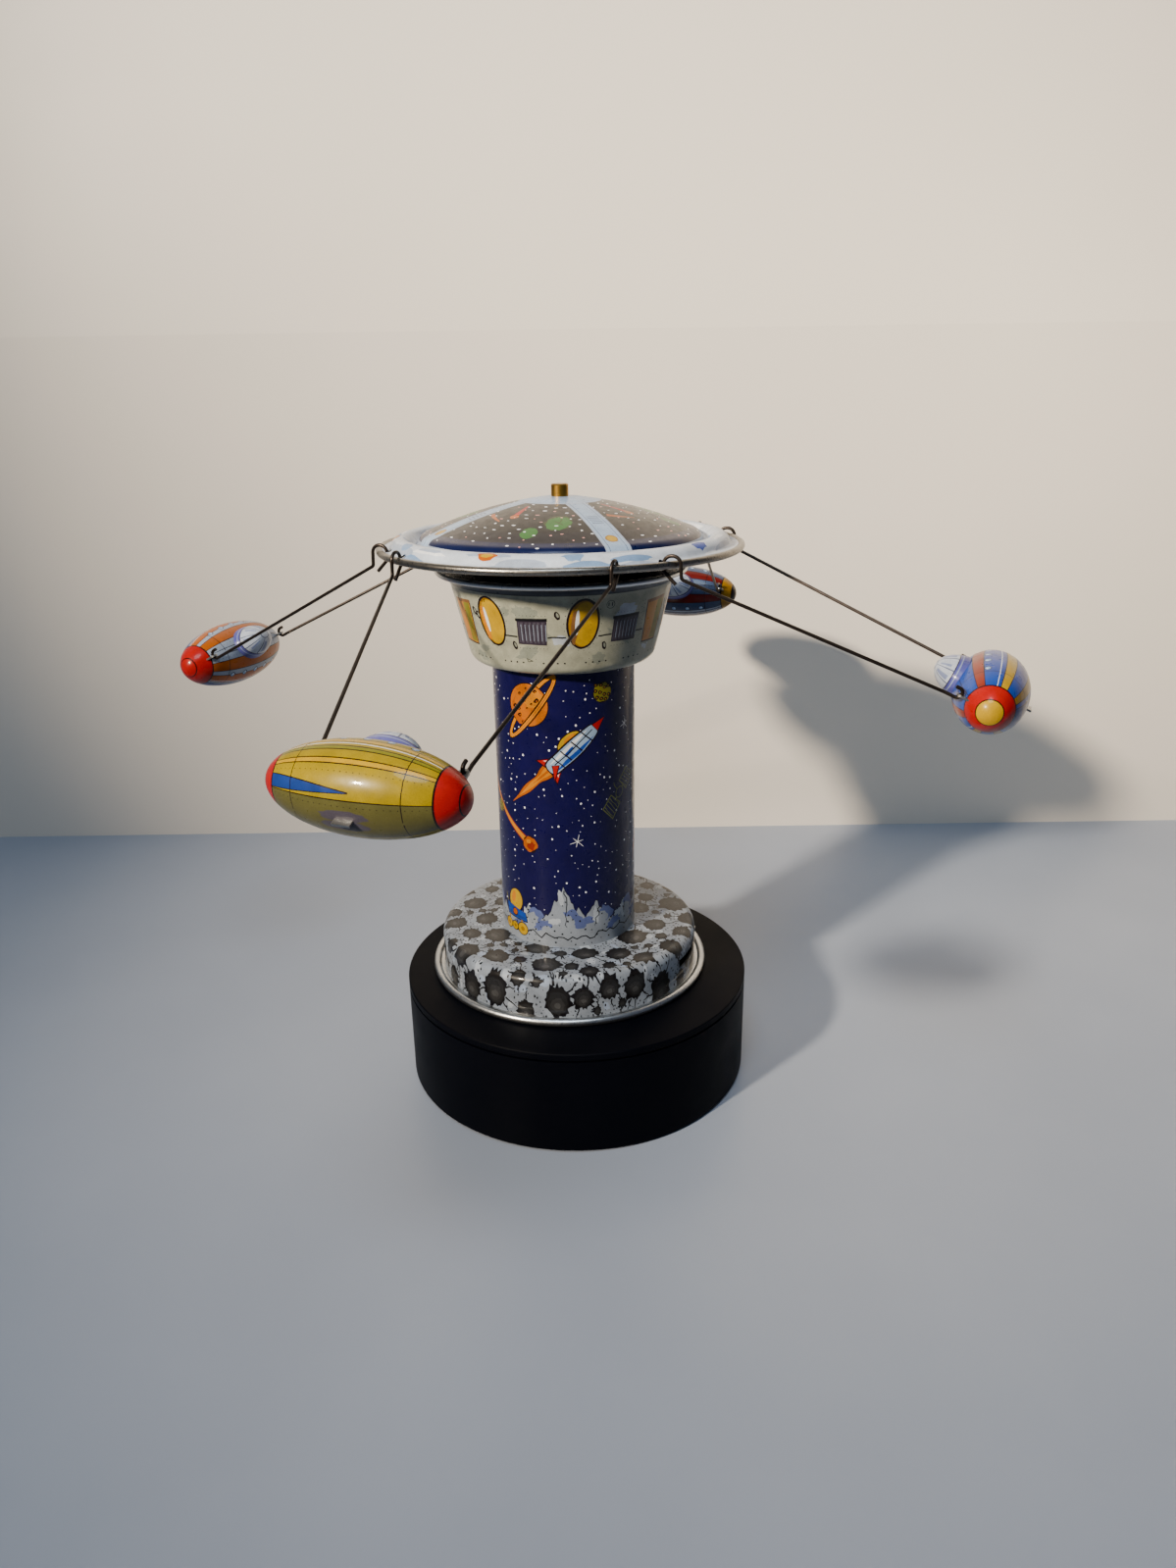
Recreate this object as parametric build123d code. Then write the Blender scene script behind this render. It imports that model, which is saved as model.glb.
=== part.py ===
from build123d import *
import math
import os

# Wind-up tin space ride: a clockwork column turns a canopy that carries four rockets on wire hangers.
# Millimetres, +Z up. The origin is on the canopy's spin axis, level with the plinth's underside.
# The rockets are modelled flung out, as they fly when the canopy spins.

# ---- plinth -------------------------------------------------------------------------------------
PLINTH_CENTRE = (3.4, -4.9)
PLINTH_RADIUS = 79.9
PLINTH_HEIGHT = 49.0
PLINTH_DISC = 3.3
PLINTH_SEAM = 0.7
PLINTH_SEAM_DEPTH = 2.5
PLINTH_CHAMFER = 0.8
FOOT_RADIUS = 7.0
FOOT_HEIGHT = 2.0
FOOT_PROUD = 0.6
FOOT_RING = 60.0

# ---- tin base and column (heights from here on are above the plinth's top) ------------------------
TIN = 0.6
RIM_RADIUS = 65.0
RIM_BEAD = 1.8
PAN_RADIUS = 59.8
PAN_HEIGHT = 20.9
PAN_EDGE = 4.0
PAN_OPENING = 22.5
LEVER_SLOT_LOW = 10.0
LEVER_SLOT_HIGH = 14.0
LEVER_SLOT_START = -33.0
LEVER_SLOT_END = 10.0
COLUMN_RADIUS = 31.2
COLUMN_SHEET = 0.5
COLUMN_TOP = 148.5
COLUMN_TABS = 3
TAB_WIDTH = 6.0
TAB_REACH = 3.0
TAB_CLEARANCE = 0.2

# ---- station ring ---------------------------------------------------------------------------------
STATION_FOOT_RADIUS = 39.8
STATION_FOOT_ROUND = 4.0
STATION_BELT_RADIUS = 47.0
STATION_BELT = 180.0
STATION_LIP_RADIUS = 53.7
STATION_LIP = 186.6
STATION_LIP_BEAD = 1.2

# ---- canopy ---------------------------------------------------------------------------------------
CANOPY_RIM = 196.1
CANOPY_RIM_RADIUS = 75.7
CANOPY_BEAD = 1.5
CANOPY_SHEET = 0.7
FLANGE_ABOVE_RIM = 0.6
CANOPY_CROWN = 19.2
# Points of the pressed section as (radius, height above the flange), from the crown outwards.
CROWN_EDGE = (9.0, 18.9)
CONE_MIDDLE = (33.0, 13.9)
CONE_SHOULDER = (56.0, 5.8)
CONE_TURN = (58.7, 4.1)
CONE_FOOT = (59.6, 2.0)
VALLEY = (60.6, 1.0)
RING_START = (62.0, 1.4)
RING_TOP = (66.8, 4.6)
RING_END = (71.2, 1.2)
RING_TURN = (71.9, 0.45)
FLANGE_START = (73.0, 0.2)

# ---- gondolas -------------------------------------------------------------------------------------
# Each gondola's azimuth, the angle its hangers are flung out from hanging straight down, and how far
# it has drifted towards its nose from the middle between its two hooks.
GONDOLAS = {
    "right": (-20.2, 66.4, 1.0),
    "back": (69.8, 67.0, -4.0),
    "left": (159.8, 62.8, 3.0),
    "front": (-110.2, 68.2, 8.0),
}
HOOK_SPREAD = 36.0
WIRE_RADIUS = 0.7
HOOK_RADIUS = 3.3
HOOK_DROP = 5.2
HOOK_HOLE_RADIUS = 1.5
HOOK_HOLE_INSET = 3.7
ROCKET_REACH = 126.2
ROCKET_HALF_LENGTH = 33.5
ROCKET_RADIUS = 14.5
ROCKET_SHEET = 0.6
LUG_OFFSET = 26.0
LUG_HOLE_HEIGHT = 11.1
LUG_HOLE_RADIUS = 1.1
LUG_RADIUS = 1.9
LUG_SHEET = 0.8
EYE_RADIUS = 1.9
DOME_LENGTH = 12.0
DOME_WIDTH = 8.0
DOME_HEIGHT = 12.6
DOME_CENTRE = 10.6
DOME_SHEET = 0.7

# ---- clockwork ------------------------------------------------------------------------------------
MODULE = 0.5
GREAT_TEETH = 54
LAY_PINION_TEETH = 12
LAY_WHEEL_TEETH = 48
ROTOR_PINION_TEETH = 18
LAY_DIRECTION = -33.0
LAY_DISTANCE = MODULE * (GREAT_TEETH + LAY_PINION_TEETH) / 2
PINION_OVERLAP = 0.5
WHEEL_HOLES = 5
PLATE_SHEET = 1.2
MOTOR_FLOOR = PAN_HEIGHT
PILLAR_RING = 25.0
PILLAR_RADIUS = 2.8
PILLAR_NECK = 2.0
PILLAR_ANGLES = (60.0, 120.0, -120.0, -60.0)
BRIDGE_PILLARS = (120.0, -60.0)
BRIDGE_LOW = 40.0
BRIDGE_THICK = 2.0
BRIDGE_HALF_WIDTH = 3.6
MOTOR_CEILING = 50.1
ARBOR_RADIUS = 2.0
PIVOT_RADIUS = 1.0
SHAFT_RADIUS = 1.5
LAY_ARBOR_RADIUS = 1.2
RUNNING_GAP = 0.05
RATCHET_TEETH = 12
RATCHET_RADIUS = 6.5
RATCHET_ROOT = 5.3
RATCHET_LOW = 32.2
RATCHET_THICK = 1.4
CLICK_RING = 10.8
CLICK_LEAD = 40.0
GREAT_LOW = 34.2
GREAT_THICK = 2.5
LAY_WHEEL_LOW = 44.0
LAY_WHEEL_THICK = 2.2
SPRING_LOW = 24.0
SPRING_HEIGHT = 7.0
SPRING_TURNS = 6
SPRING_STRIP = 0.45
SPRING_INNER = 2.9
SPRING_OUTER = 12.6
LEVER_LOW = 11.6
LEVER_THICK = 1.0
LEVER_ARM = 10.0
TONGUE_GAP = 1.2
TONGUE_ANGLE = 110.0
LEVER_TIP_RADIUS = 61.0
LEVER_TIP_ANGLE = 3.0
HUB_RADIUS = 4.2
CAP_RADIUS = 3.65
CAP_HEIGHT = 5.0

os.makedirs("parts", exist_ok=True)


# ---- small helpers --------------------------------------------------------------------------------
def save(shape, name):
    """Write one physical piece to its own STEP file."""
    export_step(shape, f"parts/{name}.step")


def lift(shape):
    """Stand a tin-toy piece on the plinth."""
    return Pos(0, 0, PLINTH_HEIGHT) * shape


def polar(radius, degrees, z=0.0):
    """Point at a radius and azimuth."""
    turn = math.radians(degrees)
    return Vector(radius * math.cos(turn), radius * math.sin(turn), z)


def column(radius, low, high, centre=(0.0, 0.0)):
    """Round bar between two heights."""
    return Pos(centre[0], centre[1], (low + high) / 2) * Cylinder(radius, high - low)


def tube(outer, inner, low, high, centre=(0.0, 0.0)):
    """Round tube between two heights."""
    return column(outer, low, high, centre) - column(inner, low - 1, high + 1, centre)


def turned(edges):
    """Solid of revolution about Z from edges that close an outline in (radius, height)."""
    return revolve(make_face([Plane.XZ * edge for edge in edges]), Axis.Z)


def bead(ring_radius, bead_radius, z):
    """Rolled edge: a torus about Z."""
    return Pos(0, 0, z) * Torus(ring_radius, bead_radius)


def slab(points, low, high):
    """Flat plate from a closed polygon of (x, y) points."""
    return extrude(Pos(0, 0, low) * make_face(Polyline(*points, close=True)), high - low)


def link(first, second, first_radius, second_radius, low, high):
    """Flat plate that wraps two discs, as a lever arm does."""
    outline = make_hull(
        [
            *(Pos(first.X, first.Y) * Circle(first_radius)).edges(),
            *(Pos(second.X, second.Y) * Circle(second_radius)).edges(),
        ]
    )
    return extrude(Pos(0, 0, low) * outline, high - low)


def involute(base_radius, radius):
    """Involute function of the pressure angle at a radius."""
    angle = math.acos(min(1.0, base_radius / radius))
    return math.tan(angle) - angle


def spur_gear(teeth, low, thick, bore, phase=0.0, slimness=0.86):
    """Spur gear about Z with a tooth centred at the phase angle."""
    pitch_radius = MODULE * teeth / 2
    base_radius = pitch_radius * math.cos(math.radians(20))
    tip_radius = pitch_radius + 0.9 * MODULE
    root_radius = pitch_radius - 1.25 * MODULE
    half_pitch = slimness * math.pi / (2 * teeth)
    pitch_involute = involute(base_radius, pitch_radius)
    start_radius = max(root_radius + 0.1 * MODULE, base_radius)
    flank = []
    for step in range(4):
        radius = start_radius + (tip_radius - start_radius) * step / 3
        flank.append((radius, half_pitch + pitch_involute - involute(base_radius, radius)))
    outline = []
    for tooth in range(teeth):
        centre = math.radians(phase) + 2 * math.pi * tooth / teeth
        side = [(root_radius, flank[0][1] * 1.05), *flank]
        rising = [(radius, centre - half) for radius, half in side]
        falling = [(radius, centre + half) for radius, half in reversed(side)]
        outline += [(r * math.cos(a), r * math.sin(a)) for r, a in rising + falling]
    return slab(outline, low, low + thick) - column(bore, low - 1, low + thick + 1)


def lightening_holes(ring, radius, start, low, thick):
    """Ring of round cutters for a wheel's web, the first half a step past the start angle."""
    step = 360 / WHEEL_HOLES
    spots = [polar(ring, start + step * (number + 0.5)) for number in range(WHEEL_HOLES)]
    return [column(radius, low - 1, low + thick + 1, (spot.X, spot.Y)) for spot in spots]


# ---- plinth ---------------------------------------------------------------------------------------
def make_plinth():
    """Black drum, its top disc over a shadow seam, and the rubber feet.

    The toy stands a little off the drum's centre.
    """
    place = Pos(*PLINTH_CENTRE)
    seam_low = PLINTH_HEIGHT - PLINTH_DISC - PLINTH_SEAM
    body = column(PLINTH_RADIUS, FOOT_PROUD, seam_low)
    body = chamfer(body.edges().group_by(Axis.Z)[0], PLINTH_CHAMFER)
    neck = column(PLINTH_RADIUS - PLINTH_SEAM_DEPTH, seam_low, seam_low + PLINTH_SEAM)
    drum = body + neck
    feet = []
    for quarter in range(4):
        spot = polar(FOOT_RING, 45 + 90 * quarter)
        feet.append(column(FOOT_RADIUS, 0, FOOT_HEIGHT, (spot.X, spot.Y)))
    for foot in feet:
        drum -= foot
    disc = column(PLINTH_RADIUS, PLINTH_HEIGHT - PLINTH_DISC, PLINTH_HEIGHT)
    disc = chamfer(disc.edges(), PLINTH_CHAMFER / 2)
    save(place * drum, "plinth_drum")
    save(place * disc, "plinth_top_disc")
    save(place * Compound(feet), "plinth_feet")


# ---- tin base and column --------------------------------------------------------------------------
def pan_body(inset):
    """Solid drum of the crater pan, inset on its wall and top."""
    drum = column(PAN_RADIUS - inset, -inset, PAN_HEIGHT - inset)
    return fillet(drum.edges().group_by(Axis.Z)[-1], PAN_EDGE - inset)


def tab_angles():
    """Azimuths of the column's fixing tabs."""
    return [LAY_DIRECTION + 90 + 120 * number for number in range(COLUMN_TABS)]


def tab_box(angle, length, width, low, high, inner):
    """Box standing on the column's wall line at an azimuth."""
    centre = Pos(inner + length / 2, 0, (low + high) / 2)
    return Rot(0, 0, angle) * centre * Box(length, width, high - low)


def make_base_pan():
    """Pressed crater pan with a rolled rim, lever slot and motor opening."""
    shell = pan_body(0) - pan_body(TIN)
    brim = tube(RIM_RADIUS - RIM_BEAD, PAN_RADIUS - TIN, RIM_BEAD - TIN / 2, RIM_BEAD + TIN / 2)
    shell -= column(PAN_RADIUS + 1, -TIN, RIM_BEAD - TIN / 2)
    pan = shell + brim + bead(RIM_RADIUS - RIM_BEAD, RIM_BEAD, RIM_BEAD)
    pan -= column(PAN_OPENING, 0, PAN_HEIGHT + 1)
    fan = [polar(2 * PAN_RADIUS, angle) for angle in (LEVER_SLOT_START, LEVER_SLOT_END)]
    pan -= slab([(0, 0), *[(corner.X, corner.Y) for corner in fan]], LEVER_SLOT_LOW, LEVER_SLOT_HIGH)
    wall = COLUMN_RADIUS - COLUMN_SHEET
    for angle in tab_angles():
        length = COLUMN_SHEET + TAB_CLEARANCE
        width = TAB_WIDTH + 2 * TAB_CLEARANCE
        inner = wall - TAB_CLEARANCE / 2
        pan -= tab_box(angle, length, width, PAN_HEIGHT - 2 * TIN, PAN_HEIGHT + TIN, inner)
    for angle in PILLAR_ANGLES:
        spot = polar(PILLAR_RING, LAY_DIRECTION + angle)
        pan -= column(PIVOT_RADIUS, 0, PAN_HEIGHT + 1, (spot.X, spot.Y))
    pivot = lever_pivot()
    pan -= column(LAY_ARBOR_RADIUS, 0, PAN_HEIGHT + 1, (pivot.X, pivot.Y))
    save(lift(pan), "base_pan")


def make_column():
    """Rolled tin column with tabs bent under the pan's top."""
    wall = COLUMN_RADIUS - COLUMN_SHEET
    sleeve = tube(COLUMN_RADIUS, wall, PAN_HEIGHT, COLUMN_TOP)
    tab_foot = PAN_HEIGHT - TIN - COLUMN_SHEET
    for angle in tab_angles():
        sleeve += tab_box(angle, COLUMN_SHEET, TAB_WIDTH, tab_foot, PAN_HEIGHT, wall)
        sleeve += tab_box(angle, TAB_REACH, TAB_WIDTH, tab_foot, PAN_HEIGHT - TIN, wall)
    save(lift(sleeve), "column_tube")


# ---- station ring and top bearing -----------------------------------------------------------------
def station_outline(inset):
    """Closed outline of the station ring's pressing, inset from its outer face."""
    foot = COLUMN_TOP + inset
    corner = STATION_FOOT_ROUND - inset
    foot_radius = STATION_FOOT_RADIUS - inset
    waist_radius = foot_radius + 0.6
    wall_start = COLUMN_TOP + STATION_FOOT_ROUND
    belt = STATION_BELT_RADIUS - inset
    lip = STATION_LIP_RADIUS - STATION_LIP_BEAD
    lip_top = STATION_LIP + inset / 2
    above_lip = STATION_LIP + 4
    edges = [
        Line((0, foot), (foot_radius - corner, foot)),
        ThreePointArc(
            (foot_radius - corner, foot),
            (foot_radius - corner * 0.293 + 0.15, foot + corner * 0.293),
            (waist_radius, wall_start),
        ),
        Line((waist_radius, wall_start), (belt, STATION_BELT)),
        ThreePointArc(
            (belt, STATION_BELT),
            (belt + (lip - belt) * 0.38, STATION_BELT + 4.2),
            (lip, lip_top),
        ),
        Line((lip, lip_top), (lip, above_lip)),
        Line((lip, above_lip), (0, above_lip)),
        Line((0, above_lip), (0, foot)),
    ]
    return edges


def make_station():
    """Flared station ring, its cap in the column, rivets and the top bearing bush."""
    above = column(STATION_LIP_RADIUS + 5, STATION_LIP + TIN / 2, STATION_LIP + 10)
    shell = turned(station_outline(0)) - turned(station_outline(TIN)) - above
    shell += bead(STATION_LIP_RADIUS - STATION_LIP_BEAD, STATION_LIP_BEAD, STATION_LIP)
    bush_radius = 4.0
    rivet_radius = 1.2
    rivet_ring = 24.0
    cap_radius = COLUMN_RADIUS - COLUMN_SHEET
    cap_sheet = 1.0
    cap_depth = 6.0
    cap = column(cap_radius, COLUMN_TOP - cap_depth, COLUMN_TOP)
    cap -= column(cap_radius - cap_sheet, COLUMN_TOP - cap_depth - 1, COLUMN_TOP - cap_sheet)
    bush = column(bush_radius, COLUMN_TOP - cap_sheet - 2.5, COLUMN_TOP + TIN)
    bush += column(bush_radius + 2, COLUMN_TOP + TIN, COLUMN_TOP + TIN + 1)
    bush -= column(SHAFT_RADIUS + RUNNING_GAP, COLUMN_TOP - 10, COLUMN_TOP + 10)
    shell -= column(bush_radius, COLUMN_TOP - 1, COLUMN_TOP + 1)
    cap -= column(bush_radius, COLUMN_TOP - 5, COLUMN_TOP + 1)
    rivets = []
    for quarter in range(4):
        spot = polar(rivet_ring, 45 + 90 * quarter)
        where = (spot.X, spot.Y)
        shank = column(rivet_radius, COLUMN_TOP - cap_sheet, COLUMN_TOP + TIN, where)
        shell -= shank
        cap -= shank
        head = column(2 * rivet_radius, COLUMN_TOP + TIN, COLUMN_TOP + TIN + 0.8, where)
        tail = column(1.6 * rivet_radius, COLUMN_TOP - cap_sheet - 0.6, COLUMN_TOP - cap_sheet, where)
        rivets.append(shank + head + tail)
    save(lift(shell), "station_ring")
    save(lift(cap), "column_cap")
    save(lift(bush), "top_bearing_bush")
    save(lift(Compound(rivets)), "station_rivets")


# ---- clockwork frame ------------------------------------------------------------------------------
def lay_centre():
    """Axis of the lay arbor."""
    return polar(LAY_DISTANCE, LAY_DIRECTION)


def tongue_centre():
    """Centre of the brake tongue beside the lay wheel's rim."""
    reach = MODULE * (LAY_WHEEL_TEETH / 2 + 0.9) + TONGUE_GAP + LEVER_THICK / 2
    return lay_centre() + polar(reach, LAY_DIRECTION + TONGUE_ANGLE)


def lever_pivot():
    """Axis of the brake lever, square to the tongue's path."""
    return tongue_centre() + polar(LEVER_ARM, LAY_DIRECTION + TONGUE_ANGLE - 90)


def tongue_box(width, thick, low, high):
    """Upright box at the tongue, its thin side facing the lay wheel."""
    spot = tongue_centre()
    turn = Rot(0, 0, LAY_DIRECTION + TONGUE_ANGLE)
    return Pos(spot.X, spot.Y, (low + high) / 2) * turn * Box(thick, width, high - low)


def pillar_spots():
    """Axes of the four motor pillars."""
    return [polar(PILLAR_RING, LAY_DIRECTION + angle) for angle in PILLAR_ANGLES]


def make_motor_frame():
    """Two plates, four stepped pillars, the bridge between two of them, and the screws."""
    floor_top = MOTOR_FLOOR + PLATE_SHEET
    roof_top = MOTOR_CEILING + PLATE_SHEET
    lay = lay_centre()
    lay_spot = (lay.X, lay.Y)
    pivot = lever_pivot()
    floor = column(COLUMN_RADIUS - COLUMN_SHEET, MOTOR_FLOOR, floor_top)
    floor -= column(ARBOR_RADIUS + RUNNING_GAP, MOTOR_FLOOR - 1, floor_top + 1)
    floor -= column(PIVOT_RADIUS + RUNNING_GAP, MOTOR_FLOOR - 1, floor_top + 1, lay_spot)
    floor -= column(LAY_ARBOR_RADIUS, MOTOR_FLOOR - 1, floor_top + 1, (pivot.X, pivot.Y))
    floor -= tongue_box(6.5, 5.0, MOTOR_FLOOR - 1, floor_top + 1)
    roof = column(COLUMN_RADIUS - 3, MOTOR_CEILING, roof_top)
    roof -= column(SHAFT_RADIUS + RUNNING_GAP, MOTOR_CEILING - 1, roof_top + 1)
    roof -= column(PIVOT_RADIUS + RUNNING_GAP, MOTOR_CEILING - 1, roof_top + 1, lay_spot)
    window = polar(15.0, LAY_DIRECTION + 180)
    roof -= column(7.0, MOTOR_CEILING - 1, roof_top + 1, (window.X, window.Y))
    bridge_top = BRIDGE_LOW + BRIDGE_THICK
    ends = [polar(PILLAR_RING, LAY_DIRECTION + angle) for angle in BRIDGE_PILLARS]
    bridge = link(ends[0], ends[1], BRIDGE_HALF_WIDTH, BRIDGE_HALF_WIDTH, BRIDGE_LOW, bridge_top)
    bridge -= column(PIVOT_RADIUS + RUNNING_GAP, BRIDGE_LOW - 1, bridge_top + 1)
    pillars = []
    screws = []
    screw_reach = 5.0
    head_radius = 1.9
    head_height = 1.3
    for spot in pillar_spots():
        where = (spot.X, spot.Y)
        pillar = column(PILLAR_RADIUS, floor_top, BRIDGE_LOW, where)
        pillar += column(PILLAR_NECK, BRIDGE_LOW, MOTOR_CEILING, where)
        lower = column(PIVOT_RADIUS, MOTOR_FLOOR - TIN, floor_top + screw_reach, where)
        upper = column(PIVOT_RADIUS, MOTOR_CEILING - screw_reach, roof_top, where)
        pillars.append(pillar - lower - upper)
        floor -= lower
        roof -= upper
        lower += column(head_radius, MOTOR_FLOOR - TIN - head_height, MOTOR_FLOOR - TIN, where)
        upper += column(head_radius, roof_top, roof_top + head_height, where)
        slot_low = Pos(spot.X, spot.Y, MOTOR_FLOOR - TIN - head_height) * Box(5, 0.5, 1)
        slot_high = Pos(spot.X, spot.Y, roof_top + head_height) * Box(5, 0.5, 1)
        screws += [lower - slot_low, upper - slot_high]
    for spot in ends:
        bridge -= column(PILLAR_NECK, BRIDGE_LOW - 1, bridge_top + 1, (spot.X, spot.Y))
    save(lift(floor), "motor_lower_plate")
    save(lift(roof), "motor_upper_plate")
    save(lift(bridge), "motor_bridge")
    save(lift(Compound(pillars)), "motor_pillars")
    save(lift(Compound(screws)), "motor_screws")


def spring_radius(turn):
    """Radius of the mainspring after so many turns, with its tail running out to a pillar."""
    if turn <= SPRING_TURNS:
        return SPRING_INNER + (SPRING_OUTER - SPRING_INNER) * turn / SPRING_TURNS
    tail = (turn - SPRING_TURNS) / 0.3
    reach = PILLAR_RING - PILLAR_RADIUS - SPRING_STRIP
    return SPRING_OUTER + (reach - SPRING_OUTER) * tail ** 1.5


def make_mainspring():
    """Flat spiral spring, hooked at its outer end on one pillar."""
    steps_per_turn = 12
    last = SPRING_TURNS + 0.3
    count = round(last * steps_per_turn)
    end_angle = LAY_DIRECTION + 120.0
    inner_side = []
    outer_side = []
    for step in range(count + 1):
        turn = last * step / count
        degrees = end_angle + 360 * (turn - last)
        middle = spring_radius(turn)
        inner_side.append(polar(middle - SPRING_STRIP / 2, degrees))
        outer_side.append(polar(middle + SPRING_STRIP / 2, degrees))
    outline = [
        Spline(*inner_side),
        Line(inner_side[-1], outer_side[-1]),
        Spline(*outer_side),
        Line(outer_side[0], inner_side[0]),
    ]
    strip = extrude(Pos(0, 0, SPRING_LOW) * make_face(outline), SPRING_HEIGHT)
    save(lift(strip), "mainspring")


# ---- clockwork train ------------------------------------------------------------------------------
def make_winding():
    """Butterfly key, winding arbor and ratchet wheel, which turn as one."""
    square = 2.8
    square_low = 9.0
    square_high = MOTOR_FLOOR - 0.8
    arbor = column(ARBOR_RADIUS, square_high, BRIDGE_LOW - 0.1)
    arbor += column(PIVOT_RADIUS, BRIDGE_LOW - 0.2, BRIDGE_LOW + 0.9)
    arbor += Pos(0, 0, (square_low + square_high) / 2) * Box(square, square, square_high - square_low)
    outline = []
    for tooth in range(RATCHET_TEETH):
        start = 360 * tooth / RATCHET_TEETH
        outline.append(polar(RATCHET_RADIUS, start))
        outline.append(polar(RATCHET_ROOT, start))
    ratchet = slab([(p.X, p.Y) for p in outline], RATCHET_LOW, RATCHET_LOW + RATCHET_THICK)
    ratchet -= column(ARBOR_RADIUS, RATCHET_LOW - 1, RATCHET_LOW + 3)
    shank_radius = 3.0
    shank_top = MOTOR_FLOOR - 1.5
    wing_radius = 6.5
    wing_centre = 6.9
    wing_height = 8.0
    wing_thick = 1.5
    wing_hole = 2.4
    key = column(shank_radius, wing_height, shank_top)
    for side in (-1, 1):
        wing_place = Pos(side * wing_centre, 0, wing_height) * Rot(90, 0, 0)
        key += wing_place * Cylinder(wing_radius, wing_thick)
        key -= wing_place * Cylinder(wing_hole, 4 * wing_thick)
    key -= Pos(0, 0, (square_low + square_high) / 2) * Box(square, square, square_high - square_low)
    save(lift(arbor), "winding_arbor")
    save(lift(ratchet), "ratchet_wheel")
    save(lift(key), "winding_key")


def click_pivot():
    """Axis of the click on the great wheel."""
    return polar(CLICK_RING, CLICK_LEAD)


def make_great_wheel():
    """Great wheel with its click, click rivet and click spring."""
    wheel = spur_gear(GREAT_TEETH, GREAT_LOW, GREAT_THICK, ARBOR_RADIUS + RUNNING_GAP, LAY_DIRECTION)
    wheel -= lightening_holes(7.6, 2.3, CLICK_LEAD, GREAT_LOW, GREAT_THICK)
    pivot = click_pivot()
    where = (pivot.X, pivot.Y)
    rivet_radius = 0.9
    click_low = RATCHET_LOW + 0.1
    click_high = RATCHET_LOW + RATCHET_THICK - 0.1
    nose = polar(RATCHET_ROOT + 0.6, 7.5)
    click = link(pivot, nose, 1.8, 0.35, click_low, click_high)
    click -= column(rivet_radius + RUNNING_GAP, click_low - 1, click_high + 1, where)
    rivet = column(rivet_radius, click_low - 0.1, GREAT_LOW + GREAT_THICK, where)
    rivet += column(1.6, click_low - 0.8, click_low - 0.1, where)
    wheel -= column(rivet_radius, GREAT_LOW - 1, GREAT_LOW + 4, where)
    anchor = polar(11.0, CLICK_LEAD - 62)
    leaf_end = polar(11.4, CLICK_LEAD - 14)
    post = column(0.8, click_low, GREAT_LOW + GREAT_THICK, (anchor.X, anchor.Y))
    wheel -= column(0.8, GREAT_LOW - 1, GREAT_LOW + 4, (anchor.X, anchor.Y))
    leaf = link(anchor, leaf_end, 0.9, 0.2, click_low, click_high)
    save(lift(wheel), "great_wheel")
    save(lift(click), "click")
    save(lift(rivet), "click_rivet")
    save(lift(post + leaf), "click_spring")


def make_lay():
    """Intermediate arbor with its pinion and wheel."""
    lay = lay_centre()
    roof_top = MOTOR_CEILING + PLATE_SHEET
    arbor = column(LAY_ARBOR_RADIUS, MOTOR_FLOOR + PLATE_SHEET + 0.2, MOTOR_CEILING - 0.2)
    arbor += column(PIVOT_RADIUS, MOTOR_FLOOR, roof_top)
    pinion_low = GREAT_LOW - PINION_OVERLAP
    pinion_thick = GREAT_THICK + 2 * PINION_OVERLAP
    facing = LAY_DIRECTION + 180
    pinion_phase = facing + 180 / LAY_PINION_TEETH
    pinion = spur_gear(LAY_PINION_TEETH, pinion_low, pinion_thick, LAY_ARBOR_RADIUS, pinion_phase)
    wheel_phase = facing + 180 / LAY_WHEEL_TEETH
    wheel = spur_gear(LAY_WHEEL_TEETH, LAY_WHEEL_LOW, LAY_WHEEL_THICK, LAY_ARBOR_RADIUS, wheel_phase)
    wheel -= lightening_holes(6.8, 2.4, facing, LAY_WHEEL_LOW, LAY_WHEEL_THICK)
    place = Pos(lay.X, lay.Y, PLINTH_HEIGHT)
    save(place * arbor, "lay_arbor")
    save(place * pinion, "lay_pinion")
    save(place * wheel, "lay_wheel")


def make_brake():
    """Stop lever with an upturned tongue, and the shouldered rivet that it turns on."""
    pivot = lever_pivot()
    tongue = tongue_centre()
    tip = polar(LEVER_TIP_RADIUS - 2, LEVER_TIP_ANGLE)
    lever_high = LEVER_LOW + LEVER_THICK
    pivot_spot = (pivot.X, pivot.Y)
    lever = link(pivot, tongue, 3.4, 2.2, LEVER_LOW, lever_high)
    lever += link(pivot, tip, 3.4, 2.0, LEVER_LOW, lever_high)
    lever += tongue_box(3.0, LEVER_THICK, LEVER_LOW, LAY_WHEEL_LOW + LAY_WHEEL_THICK)
    lever -= column(LAY_ARBOR_RADIUS + 0.08, LEVER_LOW - 1, lever_high + 1, pivot_spot)
    under_pan = PAN_HEIGHT - TIN
    floor_top = MOTOR_FLOOR + PLATE_SHEET
    rivet = column(LAY_ARBOR_RADIUS, LEVER_LOW - 0.2, floor_top, pivot_spot)
    rivet += column(2.2, lever_high + 0.2, under_pan, pivot_spot)
    rivet += column(2.4, LEVER_LOW - 1.2, LEVER_LOW - 0.2, pivot_spot)
    rivet += column(2.0, floor_top, floor_top + 0.8, pivot_spot)
    save(lift(lever), "brake_lever")
    save(lift(rivet), "brake_rivet")


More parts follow.
